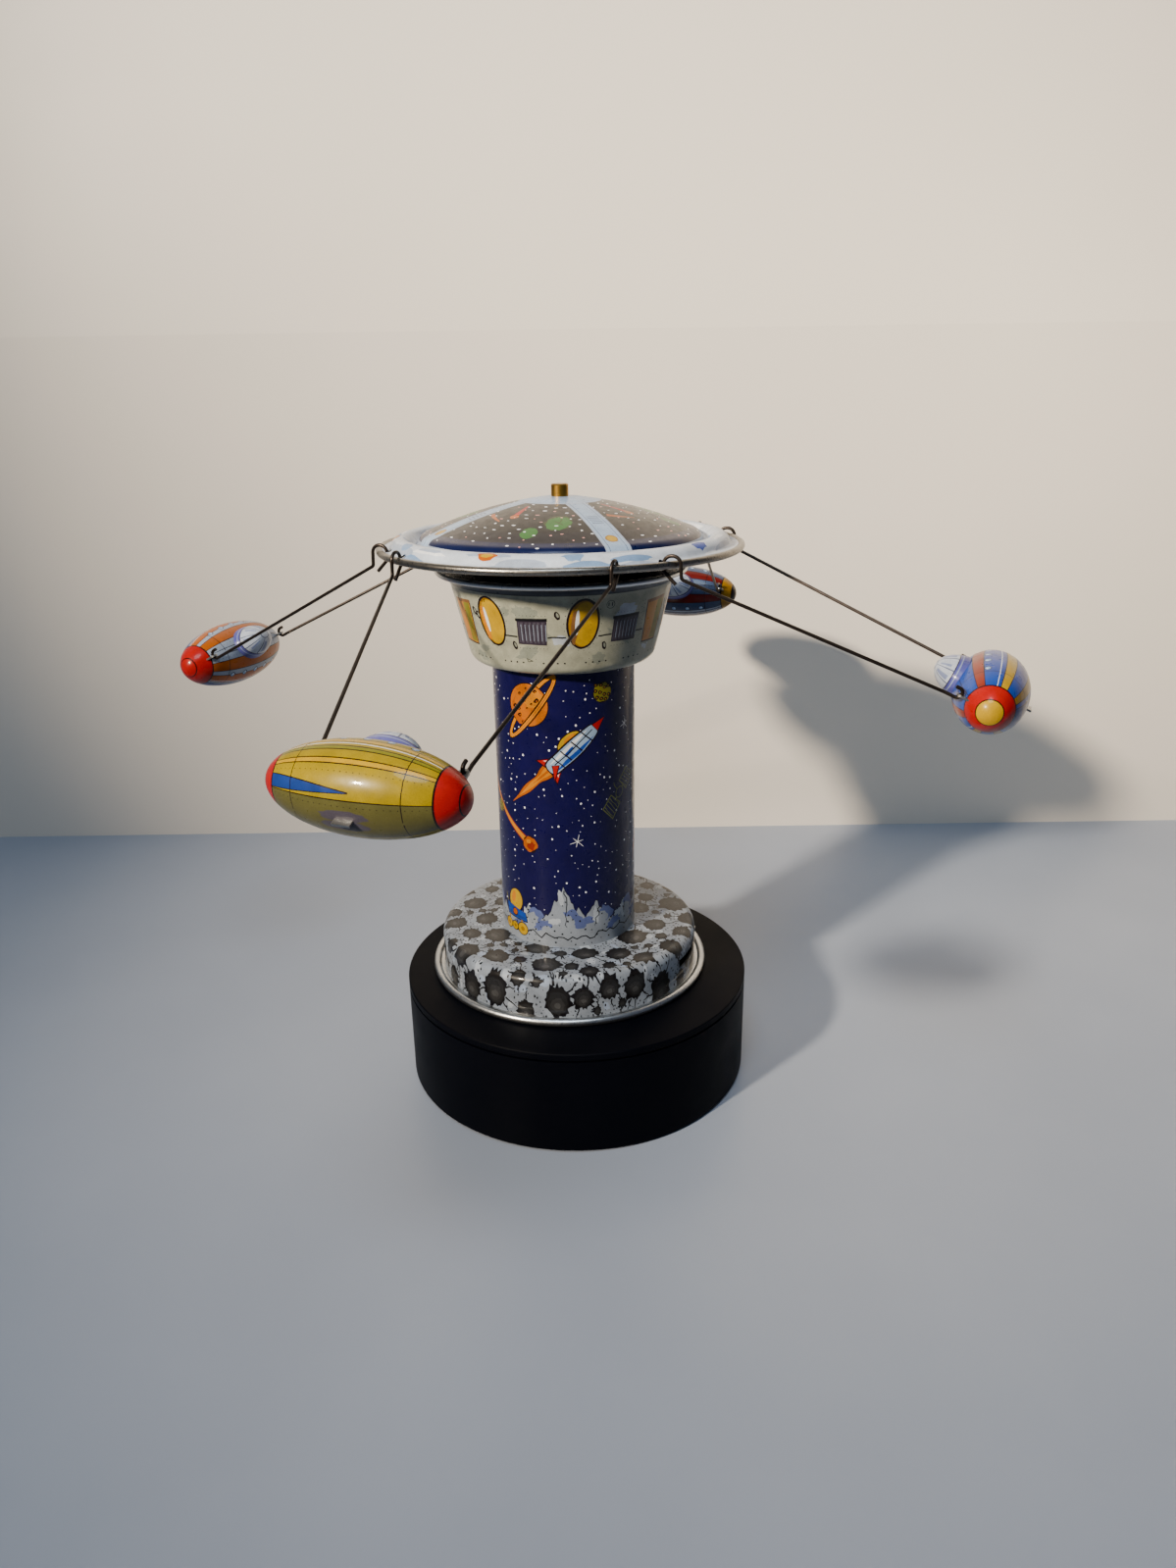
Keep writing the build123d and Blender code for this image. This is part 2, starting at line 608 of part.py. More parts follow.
# ---- rotor ----------------------------------------------------------------------------------------
def canopy_edges(drop):
    """Edges of the canopy's pressed section from crown to rim, lowered by a drop."""
    def at(point):
        radius, height = point
        return (radius, CANOPY_RIM + FLANGE_ABOVE_RIM + height - drop)

    seat = at((HUB_RADIUS + 0.8, CANOPY_CROWN))
    rim = at((CANOPY_RIM_RADIUS - CANOPY_BEAD / 2, FLANGE_START[1]))
    return [
        Line(at((SHAFT_RADIUS, CANOPY_CROWN)), seat),
        Line(seat, at(CROWN_EDGE)),
        ThreePointArc(at(CROWN_EDGE), at(CONE_MIDDLE), at(CONE_SHOULDER)),
        ThreePointArc(at(CONE_SHOULDER), at(CONE_TURN), at(CONE_FOOT)),
        ThreePointArc(at(CONE_FOOT), at(VALLEY), at(RING_START)),
        ThreePointArc(at(RING_START), at(RING_TOP), at(RING_END)),
        ThreePointArc(at(RING_END), at(RING_TURN), at(FLANGE_START)),
        Line(at(FLANGE_START), rim),
    ]


def hook_points():
    """Rim point and outward direction of every hanger hook."""
    for azimuth, _, _ in GONDOLAS.values():
        outward = polar(1.0, azimuth)
        for side in (-1, 1):
            yield polar(CANOPY_RIM_RADIUS, azimuth + side * HOOK_SPREAD), outward


def make_canopy():
    """Pressed canopy: shallow cone, raised ring, flange with hook holes and a rolled edge."""
    top = canopy_edges(0)
    bottom = canopy_edges(CANOPY_SHEET)
    sides = [Line(top[0] @ 0, bottom[0] @ 0), Line(top[-1] @ 1, bottom[-1] @ 1)]
    canopy = turned(top + bottom + sides)
    for rim_point, outward in hook_points():
        spot = rim_point - outward * HOOK_HOLE_INSET
        canopy -= column(HOOK_HOLE_RADIUS, CANOPY_RIM - 4, CANOPY_RIM + 9, (spot.X, spot.Y))
    canopy += bead(CANOPY_RIM_RADIUS, CANOPY_BEAD, CANOPY_RIM)
    save(lift(canopy), "canopy")


def make_rotor():
    """Drive shaft with its pinion, thrust collar, canopy hub and brass cap nut."""
    crown_top = CANOPY_RIM + FLANGE_ABOVE_RIM + CANOPY_CROWN
    crown_under = crown_top - CANOPY_SHEET
    bridge_top = BRIDGE_LOW + BRIDGE_THICK
    shaft_top = crown_top + CAP_HEIGHT - 1.5
    shaft = column(SHAFT_RADIUS, bridge_top + 0.1, shaft_top)
    shaft += column(PIVOT_RADIUS, bridge_top - 0.9, bridge_top + 0.2)
    pinion_low = LAY_WHEEL_LOW - PINION_OVERLAP
    pinion_thick = LAY_WHEEL_THICK + 2 * PINION_OVERLAP
    pinion = spur_gear(ROTOR_PINION_TEETH, pinion_low, pinion_thick, SHAFT_RADIUS, LAY_DIRECTION)
    collar_low = COLUMN_TOP + TIN + 1.2
    collar = tube(4.0, SHAFT_RADIUS, collar_low, collar_low + 5)
    hub = tube(HUB_RADIUS, SHAFT_RADIUS, crown_under - 9, crown_under)
    hub += tube(6.5, SHAFT_RADIUS, crown_under - 9, crown_under - 7.5)
    cap = column(CAP_RADIUS, crown_top, crown_top + CAP_HEIGHT)
    cap = chamfer(cap.edges().group_by(Axis.Z)[-1], 0.4)
    cap -= column(SHAFT_RADIUS, crown_top - 1, shaft_top)
    save(lift(shaft), "drive_shaft")
    save(lift(pinion), "rotor_pinion")
    save(lift(collar), "thrust_collar")
    save(lift(hub), "canopy_hub")
    save(lift(cap), "brass_cap")


# ---- gondolas -------------------------------------------------------------------------------------
def swing_axis(azimuth):
    """Point on a gondola's swing axis, midway between its two hooks."""
    reach = CANOPY_RIM_RADIUS * math.cos(math.radians(HOOK_SPREAD))
    return polar(reach, azimuth, CANOPY_RIM + PLINTH_HEIGHT)


def rocket_plane(azimuth, fling, drift):
    """Rocket's own frame: X to its nose, Z from its middle towards the swing axis."""
    outward = polar(1.0, azimuth)
    nose = polar(1.0, azimuth + 90)
    lean = math.radians(fling)
    up = outward * -math.sin(lean) + Vector(0, 0, math.cos(lean))
    return Plane(origin=swing_axis(azimuth) - up * ROCKET_REACH + nose * drift, x_dir=nose, z_dir=up)


def make_hanger(azimuth, fling, drift, side, name):
    """Wire hanger: a hook over the rolled edge, a straight run and an eye through the lug."""
    outward = polar(1.0, azimuth)
    up = Vector(0, 0, 1)
    rim_point = polar(CANOPY_RIM_RADIUS, azimuth + side * HOOK_SPREAD, CANOPY_RIM + PLINTH_HEIGHT)

    def hook(out, high):
        return rim_point + outward * out + up * high

    frame = rocket_plane(azimuth, fling, drift)
    eye_height = LUG_HOLE_HEIGHT + EYE_RADIUS

    def eye(across, high):
        return frame.from_local_coords(Vector(side * LUG_OFFSET, across, eye_height + high))

    route = [
        hook(1.6, -7.2),
        hook(0.1 - HOOK_RADIUS, -2.3),
        hook(-HOOK_RADIUS, HOOK_RADIUS),
        hook(HOOK_RADIUS, HOOK_RADIUS),
        hook(HOOK_RADIUS + 0.4, -HOOK_DROP),
        eye(EYE_RADIUS, 4.0),
        eye(EYE_RADIUS, -EYE_RADIUS),
        eye(-EYE_RADIUS, -EYE_RADIUS),
        eye(-EYE_RADIUS, 1.4),
    ]
    radii = [1.2, HOOK_RADIUS - 0.1, HOOK_RADIUS - 0.1, 1.6, 2.0, EYE_RADIUS - 0.05, EYE_RADIUS - 0.05]
    path = FilletPolyline(*route, radius=radii)
    section = Plane(origin=path @ 0, z_dir=path % 0) * Circle(WIRE_RADIUS)
    save(sweep(section, path), name)


def ellipsoid(length, width, height):
    """Solid ellipsoid from its three half axes."""
    return scale(Sphere(1.0), by=(length, width, height))


def spindle(half_length, radius):
    """Rocket body: an ellipse turned about the X axis."""
    half = EllipticalCenterArc((0, 0), half_length, radius, start_angle=0, arc_size=180)
    return revolve(make_face([half, Line(half @ 1, half @ 0)]), Axis.X)


def make_rocket(azimuth, fling, drift, name):
    """Two half shells joined on the seam, hanging lugs, a belly tab and the cockpit dome."""
    hull = spindle(ROCKET_HALF_LENGTH, ROCKET_RADIUS)
    hollow = spindle(ROCKET_HALF_LENGTH - ROCKET_SHEET, ROCKET_RADIUS - ROCKET_SHEET)
    shell = hull - hollow
    block = 2 * ROCKET_HALF_LENGTH + 10
    outer_half = shell & (Pos(0, -block / 2, 0) * Box(block, block, block))
    inner_half = shell & (Pos(0, block / 2, 0) * Box(block, block, block))
    skin = ROCKET_RADIUS * math.sqrt(1 - (LUG_OFFSET / ROCKET_HALF_LENGTH) ** 2)
    for side in (-1, 1):
        ear = Box(2 * LUG_RADIUS, LUG_SHEET, LUG_HOLE_HEIGHT - skin + 2)
        ear = Pos(side * LUG_OFFSET, 0, (LUG_HOLE_HEIGHT + skin - 2) / 2) * ear
        crown = Pos(side * LUG_OFFSET, 0, LUG_HOLE_HEIGHT) * Rot(90, 0, 0) * Cylinder(LUG_RADIUS, LUG_SHEET)
        hole = Pos(side * LUG_OFFSET, 0, LUG_HOLE_HEIGHT) * Rot(90, 0, 0) * Cylinder(LUG_HOLE_RADIUS, 3)
        lug = (ear + crown - hollow - hole) & (Pos(0, LUG_SHEET / 2, 0) * Box(block, LUG_SHEET, block))
        inner_half += lug
    tab = Pos(0, -LUG_SHEET / 2, -ROCKET_RADIUS) * Box(6, LUG_SHEET, 4) - hollow
    outer_half += tab
    dome_place = Pos(0, 0, DOME_CENTRE)
    half_axes = (DOME_LENGTH, DOME_WIDTH, DOME_HEIGHT)
    inner_axes = [half_axis - DOME_SHEET for half_axis in half_axes]
    dome = dome_place * (ellipsoid(*half_axes) - ellipsoid(*inner_axes))
    dome = (dome - hull) & (Pos(0, 0, block / 2) * Box(block, block, block))
    place = rocket_plane(azimuth, fling, drift).location
    save(place * outer_half, f"rocket_{name}_outer_shell")
    save(place * inner_half, f"rocket_{name}_inner_shell")
    save(place * dome, f"rocket_{name}_dome")


def make_gondolas():
    """Four gondolas, each with two hangers and a rocket."""
    for name, (azimuth, fling, drift) in GONDOLAS.items():
        make_hanger(azimuth, fling, drift, 1, f"hanger_{name}_nose_wire")
        make_hanger(azimuth, fling, drift, -1, f"hanger_{name}_tail_wire")
        make_rocket(azimuth, fling, drift, name)


make_plinth()
make_base_pan()
make_column()
make_station()
make_motor_frame()
make_mainspring()
make_winding()
make_great_wheel()
make_lay()
make_brake()
make_canopy()
make_rotor()
make_gondolas()
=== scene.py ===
import math
import random
import bpy
import numpy as np
from mathutils import Matrix, Vector
from mathutils.geometry import delaunay_2d_cdt


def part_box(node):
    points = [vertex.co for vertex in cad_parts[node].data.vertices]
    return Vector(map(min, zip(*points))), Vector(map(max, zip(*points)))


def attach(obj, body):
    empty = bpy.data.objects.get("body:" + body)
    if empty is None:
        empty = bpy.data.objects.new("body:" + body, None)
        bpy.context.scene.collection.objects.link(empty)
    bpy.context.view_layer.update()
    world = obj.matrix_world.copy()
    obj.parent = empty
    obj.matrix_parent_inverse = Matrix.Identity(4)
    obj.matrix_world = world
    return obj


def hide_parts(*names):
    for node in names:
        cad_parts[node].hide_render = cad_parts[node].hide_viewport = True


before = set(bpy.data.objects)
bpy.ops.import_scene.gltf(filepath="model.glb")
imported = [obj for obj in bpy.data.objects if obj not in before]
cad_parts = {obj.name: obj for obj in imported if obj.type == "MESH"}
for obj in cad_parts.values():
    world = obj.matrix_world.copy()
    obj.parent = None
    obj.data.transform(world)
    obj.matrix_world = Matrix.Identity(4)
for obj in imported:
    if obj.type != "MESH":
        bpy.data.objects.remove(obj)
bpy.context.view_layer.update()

# ---- sizes, in millimetres; heights are above the plinth's top ------------------------------------
MM = 0.001
PLINTH_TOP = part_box("plinth_top_disc")[1].z / MM
TIN = 0.6
COLUMN_RADIUS = 31.2
COLUMN_SHEET = 0.5
COLUMN_LOW = 20.9
COLUMN_HIGH = 148.5
PAN_RADIUS = 59.8
PAN_HEIGHT = 20.9
PAN_EDGE = 4.0
PAN_OPENING = 22.5
RIM_RADIUS = 63.2
RIM_BEAD = 1.8
SLOT_START = -33.0
SLOT_END = 10.0
SLOT_LOW = 10.0
SLOT_HIGH = 14.0
STATION_SCALE = 44.7
CANOPY_FLANGE = 196.7
CANOPY_RIM = 196.1
CANOPY_RIM_RADIUS = 75.7
CANOPY_BEAD = 1.5
CANOPY_SHEET = 0.7
HOOK_SPREAD = 36.0
HOOK_HOLE_INSET = 3.7
HOOK_HOLE_RADIUS = 1.5
# Each gondola's azimuth, the angle its hangers are flung out from hanging straight down, and how far
# it has drifted towards its nose from the middle between its two hooks.
GONDOLAS = {
    "right": (-20.2, 66.4, 1.0),
    "back": (69.8, 67.0, -4.0),
    "left": (159.8, 62.8, 3.0),
    "front": (-110.2, 68.2, 8.0),
}
ROCKET_REACH = 126.2
ROCKET_HALF_LENGTH = 33.5
ROCKET_RADIUS = 14.5
ROCKET_SHEET = 0.6
LUG_OFFSET = 26.0
LUG_HOLE_HEIGHT = 11.1
LUG_HOLE_RADIUS = 1.1
LUG_RADIUS = 1.9
LUG_SHEET = 0.8
SWING_RADIUS = CANOPY_RIM_RADIUS * math.cos(math.radians(HOOK_SPREAD))


# ---- colours --------------------------------------------------------------------------------------
def linear(code):
    """Linear RGBA from a six-digit hex colour."""
    parts = [int(code[i:i + 2], 16) / 255 for i in (0, 2, 4)]
    return [c / 12.92 if c <= 0.04045 else ((c + 0.055) / 1.055) ** 2.4 for c in parts] + [1.0]


INKS = {
    "night": "0b0636",
    "white": "c9cdd2",
    "star": "e0e4ee",
    "moon": "79818c",
    "moon_light": "979fa9",
    "moon_violet": "4a5580",
    "black": "0d0b0e",
    "crater": "1f1f20",
    "crater_dark": "161414",
    "crater_mid": "2b2b2c",
    "crater_light": "3d3d3e",
    "orange": "964a00",
    "orange_deep": "74200a",
    "flame": "b06c00",
    "yellow": "a48200",
    "yellow_deep": "855f00",
    "red": "930c08",
    "blue": "10388a",
    "blue_deep": "17306f",
    "sky": "6f92bd",
    "olive": "6d6912",
    "olive_dark": "2c3310",
    "green": "245a1c",
    "plate": "8b8d7d",
    "plate_dark": "757a6f",
    # Dark blue-grey for the station's flare: the flare's own blue-grey darkened as painted shadow of the
    # canopy.
    "flare_canopy_shadow": "2a313b",
    "vent_dark": "2c2430",
    "outline": "130709",
    "rocket_gold": "857200",
    # Dark olive for the gold front rocket's belly: painted shade on its underside.
    "belly_olive_shade": "4c4a26",
    # Grey for the station's printed vents, and for a painted shade patch on the front rocket's belly.
    "vent_grey_and_belly_shade": "403c46",
    "planet": "a05500",
    "dusk_blue": "34425e",
    "dusk_red": "4f0c08",
    "hatch": "a96f1c",
    "brown": "6b4a26",
    "canopy_panel": "0b0708",
    "canopy_low": "0f0c14",
    "navy": "070f33",
    "girder": "8399b4",
    "girder_tick": "4a5a75",
    "ring": "a9b2bf",
    "ring_shade": "8793a6",
    "ring_blue": "6580a3",
    "pink": "d99a90",
    "dome": "a5aebd",
    "dome_shade": "7580a0",
    "dome_foot": "47498a",
    "dome_frame": "4d5570",
    "hull": "8199b5",
    "olive_dim": "565c2b",
}
INK_RGBA = {name: linear(code) for name, code in INKS.items()}


# ---- node materials -------------------------------------------------------------------------------
class Nodes:
    """A node material under construction."""

    def __init__(self, name):
        self.material = bpy.data.materials.new(name)
        self.material.use_nodes = True
        self.tree = self.material.node_tree
        self.shader = self.tree.nodes["Principled BSDF"]
        self.coords = self.tree.nodes.new("ShaderNodeTexCoord").outputs["Object"]

    def new(self, kind, **settings):
        node = self.tree.nodes.new(kind)
        for key, value in settings.items():
            setattr(node, key, value)
        return node

    def join(self, source, target):
        self.tree.links.new(source, target)

    def set(self, **values):
        """Constants on the shader's own sockets."""
        for key, value in values.items():
            self.shader.inputs[key.replace("_", " ")].default_value = value

    def noise(self, scale, detail=4.0, roughness=0.55, stretch=(1, 1, 1), distortion=0.0):
        """Noise value over the object's own coordinates; the scale is per metre."""
        mapping = self.new("ShaderNodeMapping")
        mapping.inputs["Scale"].default_value = stretch
        self.join(self.coords, mapping.inputs["Vector"])
        node = self.new("ShaderNodeTexNoise")
        node.inputs["Scale"].default_value = scale
        node.inputs["Detail"].default_value = detail
        node.inputs["Roughness"].default_value = roughness
        node.inputs["Distortion"].default_value = distortion
        self.join(mapping.outputs["Vector"], node.inputs["Vector"])
        return node.outputs["Fac"]

    def spread(self, value, low, high, start=0.3, end=0.7):
        """Map a noise value to a range."""
        node = self.new("ShaderNodeMapRange")
        for key, number in zip(("From Min", "From Max", "To Min", "To Max"), (start, end, low, high)):
            node.inputs[key].default_value = number
        self.join(value, node.inputs["Value"])
        return node.outputs["Result"]

    def mix(self, factor, first, second, blend="MIX"):
        """Mix two colours; each is a socket or an RGBA constant."""
        node = self.new("ShaderNodeMix", data_type="RGBA", blend_type=blend)
        if isinstance(factor, float):
            node.inputs["Factor"].default_value = factor
        else:
            self.join(factor, node.inputs["Factor"])
        for key, colour in ((6, first), (7, second)):
            if isinstance(colour, (list, tuple)):
                node.inputs[key].default_value = colour
            else:
                self.join(colour, node.inputs[key])
        return node.outputs[2]

    def bump(self, value, strength, distance):
        node = self.new("ShaderNodeBump")
        node.inputs["Strength"].default_value = strength
        node.inputs["Distance"].default_value = distance
        self.join(value, node.inputs["Height"])
        self.join(node.outputs["Normal"], self.shader.inputs["Normal"])


def litho_material(name, blotch=0.2, metal=0.0):
    """Printed inks under glossy varnish: mottled ink, uneven gloss, faint waviness of thin tinplate."""
    m = Nodes(name)
    ink = m.new("ShaderNodeVertexColor", layer_name="Ink").outputs["Color"]
    soft = m.spread(m.noise(140.0, 5.0, 0.6), 1.0 - blotch, 1.0 + 0.4 * blotch)
    grain = m.spread(m.noise(2600.0, 2.0), 0.9, 1.08)
    shade = m.new("ShaderNodeMath", operation="MULTIPLY")
    m.join(soft, shade.inputs[0])
    m.join(grain, shade.inputs[1])
    tint = m.new("ShaderNodeCombineColor")
    for channel in ("Red", "Green", "Blue"):
        m.join(shade.outputs[0], tint.inputs[channel])
    m.join(m.mix(1.0, ink, tint.outputs["Color"], "MULTIPLY"), m.shader.inputs["Base Color"])
    m.join(m.spread(m.noise(320.0, 3.0), 0.26, 0.4), m.shader.inputs["Roughness"])
    m.set(Metallic=metal, IOR=1.25, Coat_Weight=0.35, Coat_Roughness=0.06, Coat_IOR=1.34)
    m.bump(m.noise(55.0, 2.0, 0.4), 0.25, 0.0006)
    return m.material


def metal_material(name, colour, dark, rough, scale=900.0, stretch=(1, 1, 1), metallic=1.0, wear=0.35):
    """Metal with tarnish patches, fine drawn or turned marks and uneven roughness."""
    m = Nodes(name)
    patches = m.spread(m.noise(160.0, 6.0, 0.65, distortion=0.3), 0.0, wear, 0.35, 0.75)
    streaks = m.noise(scale, 3.0, 0.6, stretch)
    base = m.mix(patches, linear(colour), linear(dark))
    streak_mix = m.spread(streaks, 0.0, 0.35)
    m.join(m.mix(streak_mix, base, linear(dark)), m.shader.inputs["Base Color"])
    m.join(m.spread(streaks, rough[0], rough[1]), m.shader.inputs["Roughness"])
    m.set(Metallic=metallic)
    m.bump(streaks, 0.12, 0.0002)
    return m.material


def plinth_material():
    """Matt black moulding with a fine spark-eroded grain and faint handling marks."""
    m = Nodes("plinth_black")
    smudge = m.noise(28.0, 4.0, 0.6)
    # The black is the moulding's own; its faint blue tint is a painted reflection of the blue-grey floor.
    base = m.mix(m.spread(smudge, 0.0, 1.0), linear("010207"), linear("03040a"))
    m.join(base, m.shader.inputs["Base Color"])
    m.join(m.spread(smudge, 0.42, 0.56), m.shader.inputs["Roughness"])
    m.set(IOR=1.13)
    m.bump(m.noise(3200.0, 2.0), 0.2, 0.00008)
    return m.material


def rubber_material():
    """Soft black rubber."""
    m = Nodes("foot_rubber")
    m.join(m.mix(m.spread(m.noise(300.0), 0.0, 1.0), linear("141414"), linear("222222")),
        m.shader.inputs["Base Color"])
    m.join(m.spread(m.noise(700.0), 0.7, 0.9), m.shader.inputs["Roughness"])
    m.bump(m.noise(1500.0), 0.3, 0.0002)
    return m.material


BARE_TIN = metal_material("bare_tin", "a9a9a6", "6f6f70", (0.24, 0.42), 500.0)
RIM_TIN = metal_material("rim_tin", "c9ccce", "a2a5a7", (0.26, 0.36), 700.0, wear=0.2)
CANOPY_EDGE = metal_material("canopy_edge", "8f8b84", "57524c", (0.24, 0.38), 700.0)
DARK_TIN = metal_material("dark_tin", "2b2f38", "14161b", (0.22, 0.36), 500.0, metallic=0.7)
STEEL = metal_material("bare_steel", "a2a3a5", "5d5f62", (0.25, 0.42), 1200.0)
SPRING = metal_material("spring_steel", "3b4560", "1d2230", (0.22, 0.36), 900.0)
BRASS = metal_material("brass", "a98237", "5b431c", (0.26, 0.46), 1500.0, stretch=(1, 1, 5), wear=0.5)
WIRE = metal_material("steel_wire", "342d29", "16120f", (0.28, 0.45), 1500.0, metallic=0.85)
LITHO = litho_material("litho_varnish")
LITHO_PALE = litho_material("litho_pale", 0.3)
PLINTH = plinth_material()
RUBBER = rubber_material()


# ---- artwork on a flat sheet ----------------------------------------------------------------------
def area(points):
    """Signed area of a closed outline."""
    total = 0.0
    for (x0, y0), (x1, y1) in zip(points, points[1:] + points[:1]):
        total += x0 * y1 - x1 * y0
    return total / 2


def smooth(points, steps=4, closed=True):
    """Points of a Catmull-Rom curve through the given points."""
    count = len(points)
    spans = count if closed else count - 1
    out = []
    for i in range(spans):
        picks = [points[(i + k) % count] if closed else points[min(max(i + k, 0), count - 1)] for k in (-1,
            0, 1, 2)]
        a, b, c, d = [np.array(p, float) for p in picks]
        for k in range(steps):
            t = k / steps
            p = 0.5 * (2 * b + (c - a) * t + (2 * a - 5 * b + 4 * c - d) * t * t + (
                3 * b - a - 3 * c + d) * t ** 3)
            out.append((float(p[0]), float(p[1])))
    if not closed:
        out.append(tuple(map(float, points[-1])))
    return out


class Canvas:
    """Closed ink shapes on a flat sheet, from the lowest layer to the highest."""

    def __init__(self, seed):
        self.shapes = []
        self.random = random.Random(seed)

    def fill(self, points, ink):
        points = [tuple(p) for p in points]
        self.shapes.append((points if area(points) > 0 else points[::-1], ink))

    def oval(self, centre, rx, ry, ink, turn=0.0, count=20, wobble=0.0, spikes=0.0):
        """Ellipse; wobble roughens its outline and spikes pulls some of its points out."""
        c, s = math.cos(math.radians(turn)), math.sin(math.radians(turn))
        points = []
        for i in range(count):
            grow = 1 + self.random.uniform(-wobble, wobble)
            if spikes and self.random.random() < 0.3:
                grow += self.random.uniform(0.3, 1.0) * spikes
            a = 2 * math.pi * i / count
            x, y = rx * grow * math.cos(a), ry * grow * math.sin(a)
            points.append((centre[0] + c * x - s * y, centre[1] + s * x + c * y))
        self.fill(points, ink)

    def stroke(self, points, width, ink, end_width=None):
        """Line of ink, one quad for each run, tapering to its end width."""
        end_width = width if end_width is None else end_width
        runs = len(points) - 1
        for i in range(runs):
            (x0, y0), (x1, y1) = points[i], points[i + 1]
            length = math.hypot(x1 - x0, y1 - y0) or 1.0
            dx, dy = (x1 - x0) / length, (y1 - y0) / length
            w0 = (width + (end_width - width) * i / runs) / 2
            w1 = (width + (end_width - width) * (i + 1) / runs) / 2
            x0, y0, x1, y1 = x0 - dx * w0 * 0.5, y0 - dy * w0 * 0.5, x1 + dx * w1 * 0.5, y1 + dy * w1 * 0.5
            self.fill([(x0 + dy * w0, y0 - dx * w0), (x1 + dy * w1, y1 - dx * w1),
                       (x1 - dy * w1, y1 + dx * w1), (x0 - dy * w0, y0 + dx * w0)], ink)

    def loop(self, points, width, ink):
        """Closed line of ink."""
        self.stroke(list(points) + [points[0]], width, ink)

    def star(self, centre, size, ink, arms=6):
        """Asterisk of crossed strokes."""
        for i in range(arms):
            a = math.pi * 2 * i / arms + 0.3
            reach = size * (1.0 if i % 2 else 0.75)
            tip = (centre[0] + reach * math.cos(a), centre[1] + reach * math.sin(a))
            self.stroke([centre, tip], 0.34, ink, 0.18)


def placed(points, origin, turn, size=1.0):
    """Points turned by an angle in degrees, scaled and moved."""
    c, s = math.cos(math.radians(turn)) * size, math.sin(math.radians(turn)) * size
    return [(origin[0] + c * x - s * y, origin[1] + s * x + c * y) for x, y in points]


def scattered(rng, count, gap, sample):
    """Seeded points no nearer to each other than a gap."""
    kept = []
    tries = 0
    while len(kept) < count and tries < 60 * count:
        tries += 1
        p = sample(rng)
        if p is not None and all((p[0] - q[0]) ** 2 + (p[1] - q[1]) ** 2 > gap * gap for q in kept):
            kept.append(p)
    return kept


# ---- sheet metal from artwork ---------------------------------------------------------------------
def arc(first, middle, last, count):
    """Points of the arc through three points, without the last one."""
    (ax, ay), (bx, by), (cx, cy) = first, middle, last
    d = 2 * (ax * (by - cy) + bx * (cy - ay) + cx * (ay - by))
    ux = ((ax * ax + ay * ay) * (by - cy) + (bx * bx + by * by) * (cy - ay) + (cx * cx + cy * cy) * (
        ay - by)) / d
    uy = ((ax * ax + ay * ay) * (cx - bx) + (bx * bx + by * by) * (ax - cx) + (cx * cx + cy * cy) * (
        bx - ax)) / d
    radius = math.hypot(ax - ux, ay - uy)
    start = math.atan2(ay - uy, ax - ux)
    through = (math.atan2(by - uy, bx - ux) - start) % (2 * math.pi)
    sweep = (math.atan2(cy - uy, cx - ux) - start) % (2 * math.pi)
    if through > sweep:
        sweep -= 2 * math.pi
    angles = [start + sweep * i / count for i in range(count)]
    return [(ux + radius * math.cos(a), uy + radius * math.sin(a)) for a in angles]


class Turned:
    """Surface of revolution about Z: where a point at an azimuth and a length along the profile lies."""

    def __init__(self, profile, flip=False):
        self.points = np.array(profile, float)
        steps = np.hypot(*np.diff(self.points, axis=0).T)
        self.length = np.concatenate([[0], np.cumsum(steps)])
        tangent = np.gradient(self.points, self.length, axis=0)
        normal = np.stack([tangent[:, 1], -tangent[:, 0]], 1) * (-1 if flip else 1)
        self.normals = normal / np.linalg.norm(normal, axis=1)[:, None]

    def at(self, azimuth, along):
        """Positions and outward normals."""
        r, z = [np.interp(along, self.length, self.points[:, k]) for k in (0, 1)]
        nr, nz = [np.interp(along, self.length, self.normals[:, k]) for k in (0, 1)]
        size = np.hypot(nr, nz)
        c, s = np.cos(azimuth), np.sin(azimuth)
        return np.stack([r * c, r * s, z], 1), np.stack([nr * c, nr * s, nz], 1) / size[:, None]


